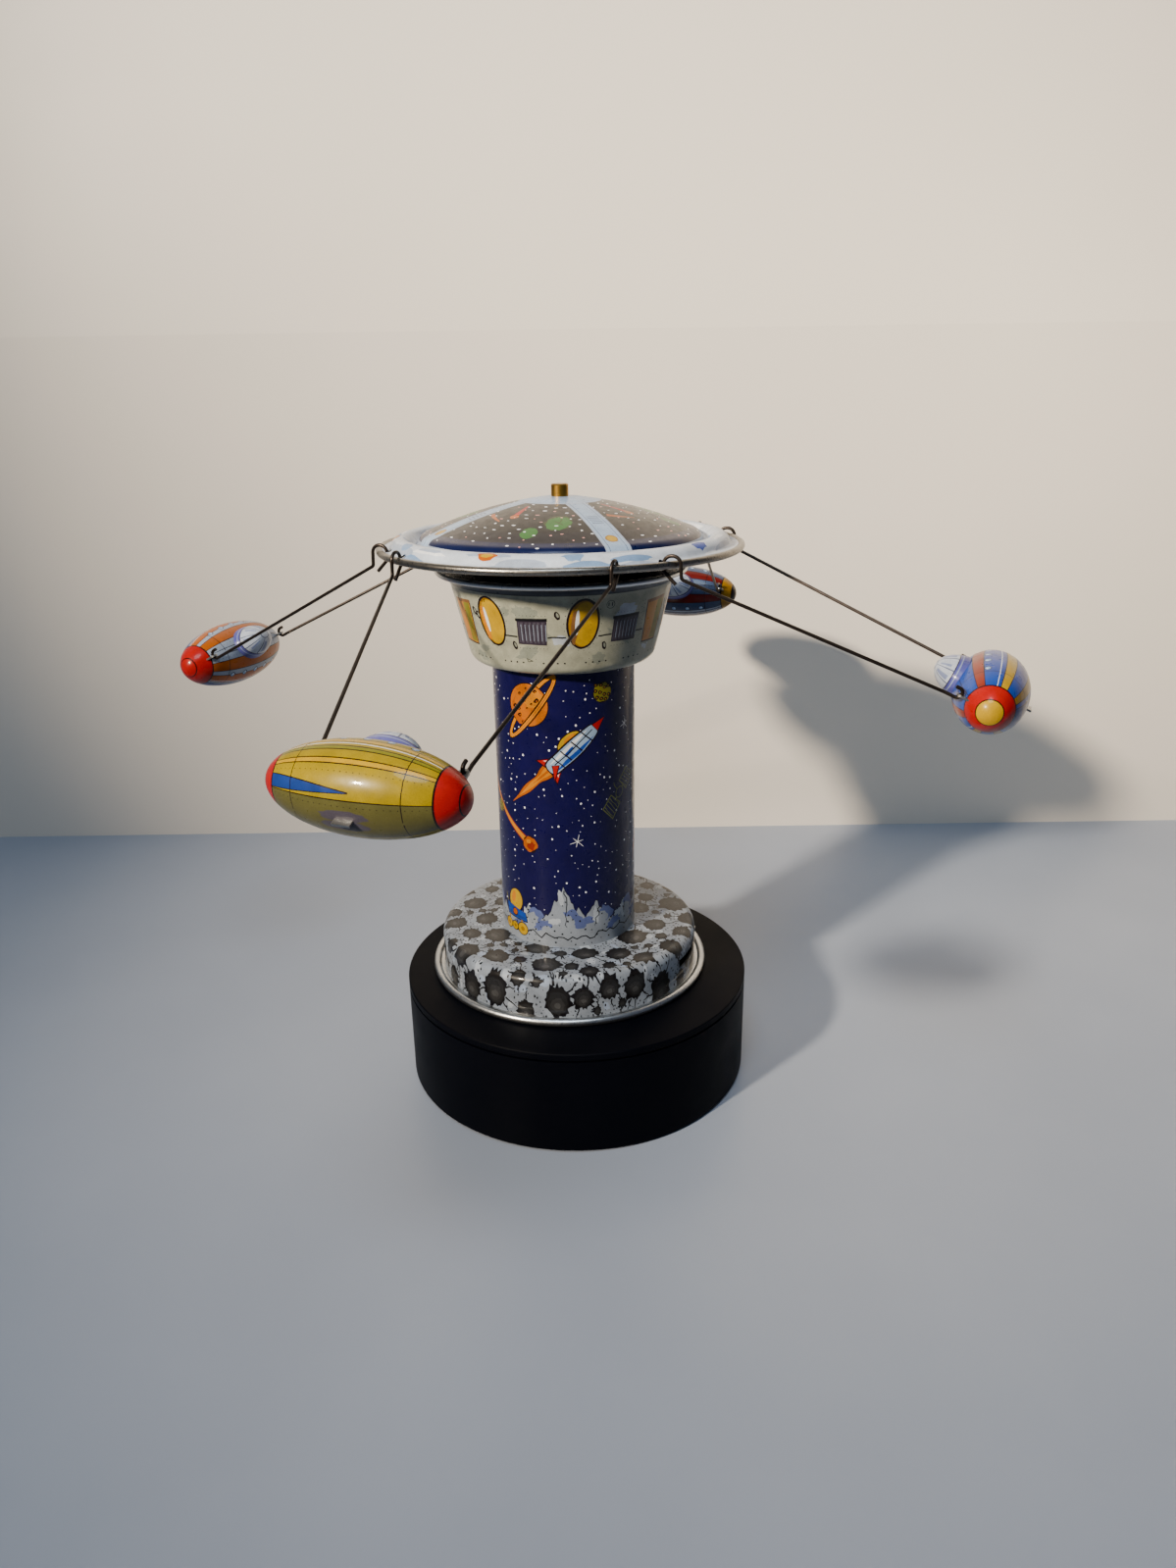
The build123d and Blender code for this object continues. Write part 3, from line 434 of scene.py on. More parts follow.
class Piece:
    """Mesh parts collected with exact normals, inks and material numbers."""

    def __init__(self):
        self.verts, self.faces, self.normals, self.inks, self.slots = [], [], [], [], []

    def add(self, verts, faces, normals, inks, slots):
        """Faces of vertex numbers; one list of corner normals and one ink for each face."""
        start = len(self.verts)
        self.verts += [tuple(v) for v in verts]
        self.faces += [[start + i for i in face] for face in faces]
        self.normals += normals
        self.inks += inks
        self.slots += slots

    def revolve(self, profile, slot, count=144, centre=(0.0, 0.0)):
        """Closed ring from a closed (radius, height) outline, counter-clockwise."""
        points = [p for p in profile]
        size = len(points)
        rim = []
        for i in range(size):
            (x0, y0), (x1, y1) = points[i - 1], points[(i + 1) % size]
            d = math.hypot(x1 - x0, y1 - y0) or 1.0
            rim.append(((y1 - y0) / d, -(x1 - x0) / d))
        verts, normals = [], []
        for k in range(count):
            c, s = math.cos(2 * math.pi * k / count), math.sin(2 * math.pi * k / count)
            verts += [(centre[0] + r * c, centre[1] + r * s, z) for r, z in points]
            normals += [(nr * c, nr * s, nz) for nr, nz in rim]
        faces = []
        for k in range(count):
            for i in range(size):
                j, n = (i + 1) % size, (k + 1) % count
                faces.append([k * size + i, n * size + i, n * size + j, k * size + j])
        self.add(verts, faces, [[normals[v] for v in f] for f in faces], ["white"] * len(faces),
            [slot] * len(faces))

    def sheet(self, canvas, outline, holes, cuts, surface, thickness, slot, back_slot):
        """Printed sheet: the artwork is cut into faces, laid on a surface and given a thickness."""
        verts, edges, faces, inks = [], [], [], []

        def ring(points):
            start = len(verts)
            verts.extend(Vector(p) for p in points)
            return list(range(start, len(verts)))

        for points, ink in [(outline, None), *[(hole, None) for hole in holes], *canvas.shapes]:
            faces.append(ring(points if area(points) > 0 else points[::-1]))
            inks.append(ink)
        for line in cuts:
            chain = ring(line)
            edges += list(zip(chain, chain[1:]))
        flat, _, triangles, _, _, owners = delaunay_2d_cdt(verts, edges, faces, 0, 1e-5, True)
        first_art = 1 + len(holes)
        kept, kept_inks = [], []
        for triangle, own in zip(triangles, owners):
            if 0 not in own or any(0 < i < first_art for i in own):
                continue
            kept.append(triangle)
            kept_inks.append(inks[max(own)] if max(own) >= first_art else canvas.ground)
        uv = np.array([tuple(v) for v in flat])
        used = sorted({i for t in kept for i in t})
        points, normals = surface(uv[used])
        keys, number = {}, {}
        outer, outer_normals = [], []
        for i, p, n in zip(used, points, normals):
            key = tuple(np.round(p, 4))
            if key not in keys:
                keys[key] = len(outer)
                outer.append(p)
                outer_normals.append(n)
            number[i] = keys[key]
        tris, tri_inks = [], []
        for triangle, ink in zip(kept, kept_inks):
            t = [number[i] for i in triangle]
            if len(set(t)) == 3:
                tris.append(t)
                tri_inks.append(ink)
        a, b, c = [np.array([outer[t[k]] for t in tris]) for k in range(3)]
        facing = np.einsum("ij,ij->i", np.cross(b - a, c - a), np.array([outer_normals[t[0]] for t in tris]))
        if np.sum(facing > 0) < len(tris) / 2:
            tris = [t[::-1] for t in tris]
        size = len(outer)
        inner = [p - n * thickness for p, n in zip(outer, outer_normals)]
        directed = {(t[k], t[(k + 1) % 3]) for t in tris for k in range(3)}
        sides = [(i, j) for i, j in directed if (j, i) not in directed]
        sides.sort()
        every = [tuple(p) for p in outer] + [tuple(p) for p in inner]
        unit = [tuple(n) for n in outer_normals]
        back = [tuple(-n) for n in outer_normals]
        quads = [[j, i, i + size, j + size] for i, j in sides]
        quad_normals = []
        for q in quads:
            p = [Vector(every[i]) for i in q]
            quad_normals.append([tuple((p[2] - p[0]).cross(p[3] - p[1]).normalized())] * 4)
        self.add(
            every,
            tris + [[v + size for v in t[::-1]] for t in tris] + quads,
            [[unit[v] for v in t] for t in tris] + [[back[v] for v in t[::-1]] for t in tris] + quad_normals,
            tri_inks + ["white"] * (len(tris) + len(quads)),
            [slot] * len(tris) + [back_slot] * (len(tris) + len(quads)),
        )

    def build(self, name, materials, matrix=None, base=PLINTH_TOP):
        """Make the object, in metres, standing on the plinth or placed by a matrix."""
        matrix = Matrix.Translation((0, 0, base)) if matrix is None else matrix
        matrix = Matrix.Scale(MM, 4) @ matrix
        mesh = bpy.data.meshes.new(name)
        mesh.from_pydata([matrix @ Vector(v) for v in self.verts], [], self.faces)
        mesh.polygons.foreach_set("use_smooth", [True] * len(self.faces))
        mesh.polygons.foreach_set("material_index", self.slots)
        for material in materials:
            mesh.materials.append(material)
        layer = mesh.color_attributes.new("Ink", "FLOAT_COLOR", "CORNER")
        colours = np.array([INK_RGBA[ink] for ink, face in zip(self.inks, self.faces) for _ in face],
            np.float32)
        layer.data.foreach_set("color", colours.ravel())
        turn = matrix.to_3x3().normalized()
        mesh.normals_split_custom_set([turn @ Vector(n) for face in self.normals for n in face])
        mesh.update()
        piece = bpy.data.objects.new(name, mesh)
        bpy.context.scene.collection.objects.link(piece)
        return piece


# ---- column: night sky over moon mountains --------------------------------------------------------
def wave_line(rng, start, end, steps, sway):
    """Hand-drawn line: points between two ends, each nudged."""
    points = []
    for i in range(steps + 1):
        t = i / steps
        nudge = 0.0 if i in (0, steps) else sway
        points.append((start[0] + (end[0] - start[0]) * t + rng.uniform(-nudge, nudge),
                       start[1] + (end[1] - start[1]) * t + rng.uniform(-nudge, nudge)))
    return points


def draw_ringed_planet(art, centre, size, body, shade, ring, turn=52.0):
    x, y = centre
    ring_centre = (x + 1.2 * size, y - 1.0 * size)

    def band(rx, ry, start, end, count=24):
        points = []
        for i in range(count + 1):
            a = math.radians(start + (end - start) * i / count)
            points.append((rx * math.cos(a), ry * math.sin(a)))
        return placed(points, ring_centre, turn, size)

    def half(start, end, grow):
        return band(18.4 + grow, 3.9 + grow, start, end) + band(16.2 - grow, 2.3 - grow, end, start)

    art.fill(half(0, 180, 0.6), "outline")
    art.fill(half(0, 180, 0.0), ring)
    art.oval(centre, 9.6 * size, 9.6 * size, "outline", count=36)
    art.oval(centre, 9.2 * size, 9.2 * size, body, count=36)
    art.oval((x - 2.2 * size, y - 1.8 * size), 6.4 * size, 6.8 * size, shade, wobble=0.08)
    art.oval((x - 0.6 * size, y - 0.2 * size), 5.9 * size, 6.4 * size, body, wobble=0.08)
    art.oval((x + 2.6 * size, y + 3.0 * size), 4.6 * size, 4.2 * size, ring, 40.0, wobble=0.12)
    for spot in scattered(art.random, 26, 2.4, lambda r: (r.uniform(-8, 8), r.uniform(-8, 8))):
        if math.hypot(*spot) < 8.0:
            grow = art.random.uniform(0.55, 1.25) * size
            place = (x + spot[0] * size, y + spot[1] * size)
            art.oval(place, grow, 0.8 * grow, "outline", 30.0, 9, 0.2)
            art.oval((place[0] + 0.15, place[1] - 0.12), 0.4 * grow, 0.3 * grow, shade, 30.0, 7)
    art.fill(half(180, 360, 0.6), "outline")
    art.fill(half(180, 360, 0.0), ring)
    art.stroke(band(17.2, 3.1, 200, 340), 0.3, shade)


def draw_sky_rocket(art, tail, turn, size=1.0):
    """Generic printed rocket with its flame."""
    rng = art.random

    def put(points):
        return placed(points, tail, turn, size)

    def flame(width, reach, ink):
        upper = [(1.0 - reach * t, width * (1 - t) ** 0.7 * (1 + 0.25 * math.sin(14 * t))) for t in (0, .15,
            .3, .45, .6, .8)]
        lower = [(px, -py * 0.9) for px, py in reversed(upper)]
        art.fill(put(smooth(upper + [(1.0 - reach, 0.2)] + lower, 3)), ink)

    flame(3.1, 28.5, "outline")
    flame(2.8, 27.5, "orange")
    flame(1.7, 22.0, "flame")
    flame(0.8, 12.0, "orange")
    for side in (1, -1):
        art.fill(put([(6.6, 1.9 * side), (-2.6, 7.4 * side), (-1.0, 1.6 * side)]), "outline")
        art.fill(put([(5.8, 1.9 * side), (-1.8, 6.5 * side), (-0.6, 1.8 * side)]), "red")
        art.fill(put([(4.2, 2.4 * side), (0.2, 4.9 * side), (0.8, 3.4 * side)]), "pink")
    hull = [(0, 2.6), (6, 3.3), (14, 3.6), (21, 3.1), (26.5, 1.9)]
    hull += [(px, -py) for px, py in reversed(hull)]
    art.oval(put([(14.5, 3.6)])[0], 6.4 * size, 3.6 * size, "outline", turn, 24)
    art.oval(put([(14.5, 3.6)])[0], 5.9 * size, 3.1 * size, "yellow", turn, 24)
    art.oval(put([(15.6, 4.6)])[0], 3.2 * size, 1.1 * size, "flame", turn, 14)
    art.fill(put([(px * 1.03 - 0.5, py * 1.22) for px, py in smooth(hull, 3)]), "outline")
    art.fill(put(smooth(hull, 3)), "hull")
    art.fill(put([(1.0, 1.6), (8, 2.6), (16, 2.9), (24, 2.0), (18, 1.4), (8, 1.0)]), "white")
    art.fill(put([(0.5, -2.5), (7, -3.1), (15, -3.4), (24, -2.3), (18, -1.6), (8, -1.3)]), "blue")
    art.fill(put([(9, 1.0), (14, 1.4), (14, 0.0), (9, -0.6)]), "blue")
    for along in (4.5, 9.0, 15.0, 21.0):
        art.stroke(put(wave_line(rng, (along, 3.1), (along + 0.8, -3.1), 3, 0.2)), 0.6, "outline")
    art.stroke(put(wave_line(rng, (3, 0.2), (25, 0.4), 6, 0.2)), 0.5, "outline")
    art.fill(put([(26.2, 2.3), (33.4, 0), (26.2, -2.3)]), "outline")
    art.fill(put([(26.5, 1.8), (32.4, 0), (26.5, -1.8)]), "red")
    art.fill(put([(1.6, 0.9), (-2.6, -5.9), (4.6, -1.2)]), "outline")
    art.fill(put([(1.8, 0.5), (-1.8, -4.8), (4.0, -1.1)]), "red")


def draw_comet(art, tail, head, bend, size=1.0):
    middle = ((tail[0] + head[0]) / 2 + bend[0], (tail[1] + head[1]) / 2 + bend[1])
    run = smooth([tail, middle, head], 6, closed=False)
    art.stroke(run, 0.5, "orange_deep", 4.3 * size)
    art.stroke(run, 0.3, "flame", 3.0 * size)
    art.oval(head, 4.3 * size, 4.3 * size, "outline", wobble=0.12)
    art.oval(head, 3.9 * size, 3.9 * size, "orange", wobble=0.12)
    art.oval((head[0] + 0.5, head[1] - 0.6), 2.2 * size, 2.4 * size, "orange_deep", wobble=0.2)
    art.oval((head[0] - 0.8, head[1] + 1.2), 1.3 * size, 1.1 * size, "flame", wobble=0.2)


def draw_asteroid(art, centre, radius):
    art.oval(centre, radius, radius * 0.95, "outline", wobble=0.06)
    art.oval(centre, radius * 0.93, radius * 0.88, "olive", wobble=0.06)
    for spot in scattered(art.random, 12, 0.42, lambda r: (r.uniform(-0.75, 0.75), r.uniform(-0.75, 0.75))):
        place = (centre[0] + spot[0] * radius, centre[1] + spot[1] * radius)
        art.oval(place, 0.21 * radius, 0.18 * radius, "outline", count=8, wobble=0.2)
        art.oval(place, 0.09 * radius, 0.08 * radius, "yellow_deep", count=6)


def draw_satellite(art, centre, turn=48.0):
    """Sketchy probe: a tub between two hatched panels."""
    def put(points):
        return placed(points, centre, turn)
    for side in (-1, 1):
        panel = [(3.5 * side, -3.6), (11.5 * side, -4.4), (11.0 * side, 3.2), (3.8 * side, 3.8)]
        art.loop(put(panel), 0.5, "olive_dim")
        for i in range(5):
            x = side * (4.6 + 1.5 * i)
            art.stroke(put(wave_line(art.random, (x, -3.6), (x - 0.9 * side, 3.2), 3, 0.3)), 0.32,
                "olive_dim")
        art.stroke(put([(0, 0), (3.6 * side, 0)]), 0.7, "olive_dim")
    art.oval(centre, 2.6, 2.2, "night", turn)
    art.loop(put([(2.6 * math.cos(a), 2.2 * math.sin(a)) for a in [k * math.pi / 7 for k in range(14)]]),
        0.45, "olive_dim")
    art.stroke(put([(0, 2), (0.6, 5.2), (1.4, 6.0)]), 0.4, "olive_dim")


def draw_rover(art, centre):
    """Small generic moon buggy: dome, round-windowed tub and ball wheels."""
    x, y = centre
    art.oval((x + 0.4, y + 5.2), 4.9, 6.2, "outline", -12)
    art.oval((x + 0.4, y + 5.2), 4.4, 5.7, "yellow", -12)
    art.oval((x - 0.9, y + 6.6), 1.4, 3.0, "flame", -12)
    tub = [(-6.6, 2.6), (6.4, 0.4), (7.4, -3.8), (-5.6, -3.2)]
    art.fill(placed([(px * 1.08, py * 1.14) for px, py in tub], centre, 0), "outline")
    art.fill(placed(tub, centre, 0), "blue")
    art.fill(placed([(-5.8, -1.2), (6.4, -2.0), (6.6, -3.2), (-5.2, -2.8)], centre, 0), "blue_deep")
    art.oval((x - 0.2, y - 0.8), 1.9, 1.9, "outline")
    art.oval((x - 0.2, y - 0.8), 1.5, 1.5, "orange")
    art.stroke([(x - 4.5, y - 3.6), (x - 5.2, y - 6.8), (x + 3.6, y - 7.2), (x + 4.2, y - 4.0)], 0.9,
        "yellow_deep")
    for wheel, radius in ((-5.4, 2.4), (-0.6, 2.0), (4.6, 2.9)):
        art.oval((x + wheel, y - 8.0), radius + 0.4, radius + 0.4, "outline")
        art.oval((x + wheel, y - 8.0), radius, radius, "yellow")
        art.oval((x + wheel, y - 8.0), 0.4 * radius, 0.4 * radius, "yellow_deep")
    art.stroke([(x - 5.8, y + 2.8), (x - 7.6, y + 6.4)], 0.5, "olive")


def column_art():
    art = Canvas(11)
    art.ground = "night"
    rng = art.random
    half = math.pi * COLUMN_RADIUS
    edge = half - 1.5
    for i, spot in enumerate(scattered(rng, 720, 2.5,
            lambda r: (r.uniform(-edge, edge), r.uniform(32, 147)))):
        size = 0.44 if i % 6 == 0 else rng.uniform(0.14, 0.3)
        art.oval(spot, size, 1.1 * size, "star", count=8, wobble=0.12)
    for spot, size in (((5.1, 72.3), 3.4), ((30.6, 121.9), 3.0), ((-52.0, 112.0), 3.2), ((64.0, 66.0), 3.2),
            ((-78.0, 74.0), 3.0), ((88.0, 128.0), 3.2)):
        art.star(spot, size, "white")
    draw_ringed_planet(art, (-15.6, 133.4), 1.0, "planet", "orange", "flame")
    draw_asteroid(art, (17.6, 138.3), 4.7)
    draw_sky_rocket(art, (-6.0, 105.7), 42.0)
    draw_comet(art, (-44.5, 96.0), (-16.6, 69.8), (-1.0, -1.4), 0.9)
    draw_satellite(art, (27.0, 91.5))
    draw_asteroid(art, (-37.0, 83.0), 3.2)
    draw_ringed_planet(art, (70.0, 118.0), 0.8, "olive", "olive_dark", "flame", 128.0)
    draw_sky_rocket(art, (50.0, 74.0), 62.0, 0.85)
    draw_comet(art, (86.0, 104.0), (64.0, 84.0), (-2.0, -2.0), 0.8)
    draw_sky_rocket(art, (-74.0, 86.0), 128.0, 0.9)
    draw_ringed_planet(art, (-68.0, 130.0), 0.75, "sky", "moon_violet", "moon_light", 35.0)
    draw_satellite(art, (-58.0, 66.0), 20.0)
    draw_asteroid(art, (46.0, 134.0), 3.6)
    peaks = [(-19.2, 44.5), (-1.9, 52.0), (14.3, 47.0), (29.8, 45.0)]
    valleys = [(-12.0, 37.0), (7.4, 40.5), (22.0, 31.5)]
    along = 45.0
    while along < 2 * half - 34.0:
        peaks.append(((along + half) % (2 * half) - half, rng.uniform(42, 53)))
        valleys.append(((along - 7.5 + half) % (2 * half) - half, rng.uniform(32, 40)))
        along += rng.uniform(13.0, 16.5)
    valleys.append((-26.0, 34.0))
    knots = sorted(peaks + valleys)
    xs = [k[0] for k in knots]
    zs = [k[1] for k in knots]

    def crag(x):
        """Skyline height: hollow flanks running up to narrow spires."""
        low, high = 33.0, 54.0
        level = float(np.interp(x, xs, zs, period=2 * half))
        hollow = low + (high - low) * (max(level - low, 0.0) / (high - low)) ** 1.9
        return hollow + 1.5 * math.sin(1.35 * x) * math.sin(0.31 * x) + 0.8 * math.sin(2.9 * x)

    line = []
    for i in range(241):
        x = -half + 2 * half * i / 240
        line.append((x, crag(x) + (rng.uniform(-0.7, 0.7) if 0 < i < 240 else 0.0)))
    skyline = line + [(half, COLUMN_LOW - 1), (-half, COLUMN_LOW - 1)]
    art.fill([(x, z + 0.5) for x, z in skyline], "outline")
    art.fill(skyline, "moon")
    for x, z in peaks:
        if abs(x) < half - 9:
            art.oval((x + 4.0, 35.6), 4.2, 3.4, "moon_violet", -35.0, 18, 0.22)
            art.oval((x + 2.4, 34.0), 3.2, 2.6, "moon", -35.0, 14, 0.3)
            art.oval((x - 1.0, crag(x) - 6.0), 1.2, 4.0, "moon_light", 8.0, wobble=0.2)
            art.oval((x - 4.0, 33.6), 2.6, 1.6, "moon_light", 8.0, wobble=0.25)
            foot = (x + rng.uniform(-3, 3), 31.0 + rng.uniform(-1, 1))
            art.stroke(wave_line(rng, (x + 0.6, crag(x) - 2.5), foot, 9, 0.9), 0.5, "black", 0.3)
    for x, z in valleys:
        if abs(x) < half - 9:
            art.oval((x + 0.6, crag(x) - 3.6), 4.2, 2.7, "moon_violet", 20.0, 18, 0.25)
            art.oval((x + 2.4, crag(x) - 5.4), 2.8, 1.6, "moon", 20.0, 14, 0.3)
    for spot in scattered(rng, 330, 2.2, lambda r: (r.uniform(-edge, edge), r.uniform(22, 50))):
        if spot[1] < crag(spot[0]) - 1.0:
            size = rng.uniform(0.26, 0.5)
            art.oval(spot, size, size, "black", count=7, wobble=0.2)
    ridge = [(-half + 2 * half * i / 96, 26.0 + rng.uniform(-1.7, 1.9)) for i in range(97)]
    art.stroke(ridge, 0.55, "black")
    draw_rover(art, (-27.2, 34.6))
    return art


def make_column():
    half = math.pi * COLUMN_RADIUS - 0.06
    surface = Turned([(COLUMN_RADIUS, COLUMN_LOW), (COLUMN_RADIUS, COLUMN_HIGH)])
    outline = [(-half, COLUMN_LOW), (half, COLUMN_LOW), (half, COLUMN_HIGH), (-half, COLUMN_HIGH)]
    cuts = [[(u, COLUMN_LOW - 1), (u, COLUMN_HIGH + 1)] for u in np.linspace(-half, half, 121)[1:-1]]

    def lay(uv):
        return surface.at(uv[:, 0] / COLUMN_RADIUS - math.pi / 2, uv[:, 1] - COLUMN_LOW)

    piece = Piece()
    piece.sheet(column_art(), outline, [], cuts, lay, COLUMN_SHEET, 0, 1)
    return finish_piece(piece, "printed_column", [LITHO, BARE_TIN], "toy_frame", ["column_tube"])


def finish_piece(piece, name, materials, body, nodes, matrix=None):
    obj = piece.build(name, materials, matrix)
    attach(obj, body)
    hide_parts(*nodes)
    return obj


# ---- station ring ---------------------------------------------------------------------------------
STATION_PROFILE = (
    [(4.05, 148.5), (20.0, 148.5)]
    + arc((35.8, 148.5), (38.78, 149.67), (40.4, 152.5), 8)
    + [(40.4 + 6.6 * k / 4, 152.5 + 27.5 * k / 4) for k in range(4)]
    + arc((47.0, 180.0), (49.1, 184.2), (52.6, 186.6), 10)
    + [(52.6, 186.6)]
)


def station_art(along):
    """Riveted plating with portholes, vents and hatches; along() turns a height into sheet length."""
    art = Canvas(23)
    art.ground = "plate"
    rng = art.random

    def at(degrees, z):
        return (math.radians(degrees) * STATION_SCALE, along(z))

    def oval(degrees, z, rx, ry, ink, turn=0.0, **more):
        art.oval(at(degrees, z), rx, ry, ink, turn, **more)

    full = math.pi * STATION_SCALE
    # Band over the flare under the canopy: the blue-grey flare inked dark as painted shadow of the canopy.
    art.fill([(-full, along(182.6)), (full, along(182.6)), (full, along(186.6) + 3),
        (-full, along(186.6) + 3)], "flare_canopy_shadow")
    for i in range(46):
        degrees = rng.uniform(-174, 174)
        oval(degrees, rng.uniform(154, 179), rng.uniform(2.5, 6.5), rng.uniform(1.2, 3.0),
            "plate_dark" if i % 3 else "moon_light", rng.uniform(-30, 30), wobble=0.3)
    belt = [at(a, 182.5) for a in range(-180, 181, 3)]
    art.stroke(belt, 0.35, "black")
    for third in range(3):
        turn = 120 * third

        def near(degrees):
            return (degrees + turn + 180) % 360 - 180

        for degrees, lean in ((-38.3, 6.0), (11.7, -3.0)):
            a = near(degrees)
            x, y = at(a, 170.7)
            art.oval((x, y), 6.8, 10.8, "outline", lean, 32, 0.012)
            art.oval((x, y), 5.9, 9.9, "yellow_deep", lean, 32)
            art.oval((x + 0.5, y - 0.2), 5.3, 9.5, "yellow", lean, 32)
            art.oval((x - 3.4, y - 1.2), 1.5, 7.4, "flame" if degrees < 0 else "brown", lean, 20, 0.1)
            art.oval((x - 2.4, y + 0.6), 0.8, 5.4, "white", lean, 16, 0.05)
            for k in range(22):
                t = 2 * math.pi * k / 22
                spot = placed([((7.6 + 0.15 * (k % 2)) * math.cos(t), 11.5 * math.sin(t))], (x, y), lean)[0]
                art.oval(spot, 0.2, 0.2, "black", count=6)
        for degrees in (-15.0, 36.0):
            a = near(degrees)
            x, y = at(a, 167.2)
            frame_points = [(-6.4, -5.2), (6.0, -5.4), (6.4, 5.4), (-6.0, 5.0)]
            art.fill(placed(frame_points, (x, y), 0), "vent_dark")
            art.fill(placed([(px * 0.9, py * 0.86) for px, py in frame_points], (x, y), 0), "vent_grey_and_belly_shade")
            for k in range(7):
                bar = -5.0 + 10.2 * k / 6
                art.stroke(wave_line(rng, (x + bar, y - 4.6), (x + bar + 0.3, y + 4.4), 4, 0.12),
                    0.75 if k % 2 else 0.4, "vent_dark")
                art.stroke([(x + bar + 0.6, y - 3.6), (x + bar + 0.7, y + 3.4)], 0.22, "ring_shade")
            art.stroke([(x - 6.2, y + 5.3), (x + 6.3, y + 5.6)], 1.2, "black")
            for k in range(9):
                art.oval((x - 6 + 1.5 * k, y + 7.2), 0.18, 0.18, "black", count=6)
                art.oval((x - 6 + 1.5 * k, y - 6.9), 0.18, 0.18, "black", count=6)
        a = near(58.0)
        if abs(a) < 172:
            x, y = at(a, 168.4)
            frame_points = [(-5.6, -9.4), (6.2, -9.8), (7.2, 9.6), (-6.6, 9.0)]
            art.fill(placed(frame_points, (x, y), 0), "outline")
            art.fill(placed([(px * 0.9, py * 0.93) for px, py in frame_points], (x, y), 0), "hatch")
            art.fill(placed([(0.6, -8.4), (5.2, -8.8), (6.0, 8.4), (1.2, 8.2)], (x, y), 0), "olive")
            art.stroke([(x - 6.3, y + 8.6), (x + 6.8, y + 9.2)], 1.4, "brown")
            for k in range(7):
                low = (x - 4.4 + 1.5 * k, y - rng.uniform(6.0, 8.4))
                art.stroke(wave_line(rng, low,
                    (low[0] + rng.uniform(-0.6, 1.2), low[1] + rng.uniform(3, 13)), 5, 0.25), 0.4,
                        "orange" if k % 2 else "brown", 0.15)
            for k in range(12):
                art.oval((x - 8.2, y - 9 + 1.7 * k), 0.18, 0.22, "black", count=6)
        for start, end in ((-30.5, -23.6), (-6.6, 2.6), (20.4, 27.6), (44.2, 49.4)):
            run = [at(near(start) + (end - start) * k / 5, 165.3) for k in range(6)]
            if all(abs(p[0]) < full for p in run):
                art.stroke([(px, py + rng.uniform(-0.15, 0.15)) for px, py in run], 0.65, "black")
        for degrees, z in ((-47.5, 172.5), (-1.5, 174.5), (24.0, 161.0), (-25.5, 161.5), (70.0, 174.0)):
            a = near(degrees)
            if abs(a) < 176:
                oval(a, z, 1.1, 1.9, "outline", 18.0, count=12, wobble=0.1)
                oval(a + 0.2, z + 0.1, 0.5, 1.1, "plate_dark", 18.0, count=8)
        x, y = at(near(-19.5), 156.0)
        art.loop([(x, y), (x + 2.6, y - 1.0), (x + 0.5, y - 1.4)], 0.28, "black")
        x, y = at(near(-44.0), 178.5)
        for k in range(4):
            art.stroke([(x + 0.9 * k, y), (x + 0.9 * k + 0.4, y + 1.2)], 0.3, "black")
        x, y = at(near(25.5), 178.0)
        art.loop([(x + 1.7 * math.cos(k * math.pi / 5),
            y + 1.7 * math.sin(k * math.pi / 5)) for k in range(10)], 0.2, "black")
        art.stroke([(x - 0.8, y - 0.6), (x - 0.8, y + 0.7)], 0.4, "black")
        art.stroke([(x + 0.7, y - 0.6), (x + 0.7, y + 0.7)], 0.4, "black")
    for k in range(90):
        degrees = -178 + 356 * k / 89
        if k % 6 < 4:
            oval(degrees, 154.2, 0.5, 0.38, "black", count=7, wobble=0.15)
    for degrees in range(-165, 180, 30):
        for k in range(12):
            oval(degrees + 0.7, 153.5 + 2.4 * k, 0.16, 0.16, "black", count=6)
    return art


def make_station():
    surface = Turned(STATION_PROFILE)
    heights = surface.points[:, 1]

    def along(z):
        return float(np.interp(z, heights[2:], surface.length[2:]))

    half = math.pi * STATION_SCALE - 0.08
    end = surface.length[-1]
    outline = [(-half, 0), (half, 0), (half, end), (-half, end)]
    cuts = [[(u, -1), (u, end + 1)] for u in np.linspace(-half, half, 121)[1:-1]]
    cuts += [[(-half - 1, s), (half + 1, s)] for s in surface.length[1:-1]]

    def lay(uv):
        return surface.at(uv[:, 0] / STATION_SCALE - math.pi / 2, uv[:, 1])

    piece = Piece()
    piece.sheet(station_art(along), outline, [], cuts, lay, TIN, 0, 1)
    curl = [(52.6 + 1.2 * math.cos(a),
        186.5 + 1.2 * math.sin(a)) for a in [2 * math.pi * k / 20 for k in range(20)]]
    piece.revolve(curl, 2)
    return finish_piece(piece, "printed_station", [LITHO_PALE, DARK_TIN, RIM_TIN], "toy_frame",
        ["station_ring"])


# ---- pressings printed flat, seen in plan ---------------------------------------------------------
def rings(radii, count=120):
    """Closed circles as cut lines."""
    return [[(r * math.cos(2 * math.pi * k / count),
        r * math.sin(2 * math.pi * k / count)) for k in range(count + 1)] for r in radii]


def spokes(inner, outer, count=120):
    """Radial cut lines."""
    return [[(r * math.cos(a), r * math.sin(a)) for r in (inner,
        outer)] for a in [2 * math.pi * (k + 0.5) / count for k in range(count)]]


def disc_points(radius, count=120):
    return [(radius * math.cos(2 * math.pi * k / count),
        radius * math.sin(2 * math.pi * k / count)) for k in range(count)]


def flat_point(radius, degrees):
    return (radius * math.cos(math.radians(degrees)), radius * math.sin(math.radians(degrees)))


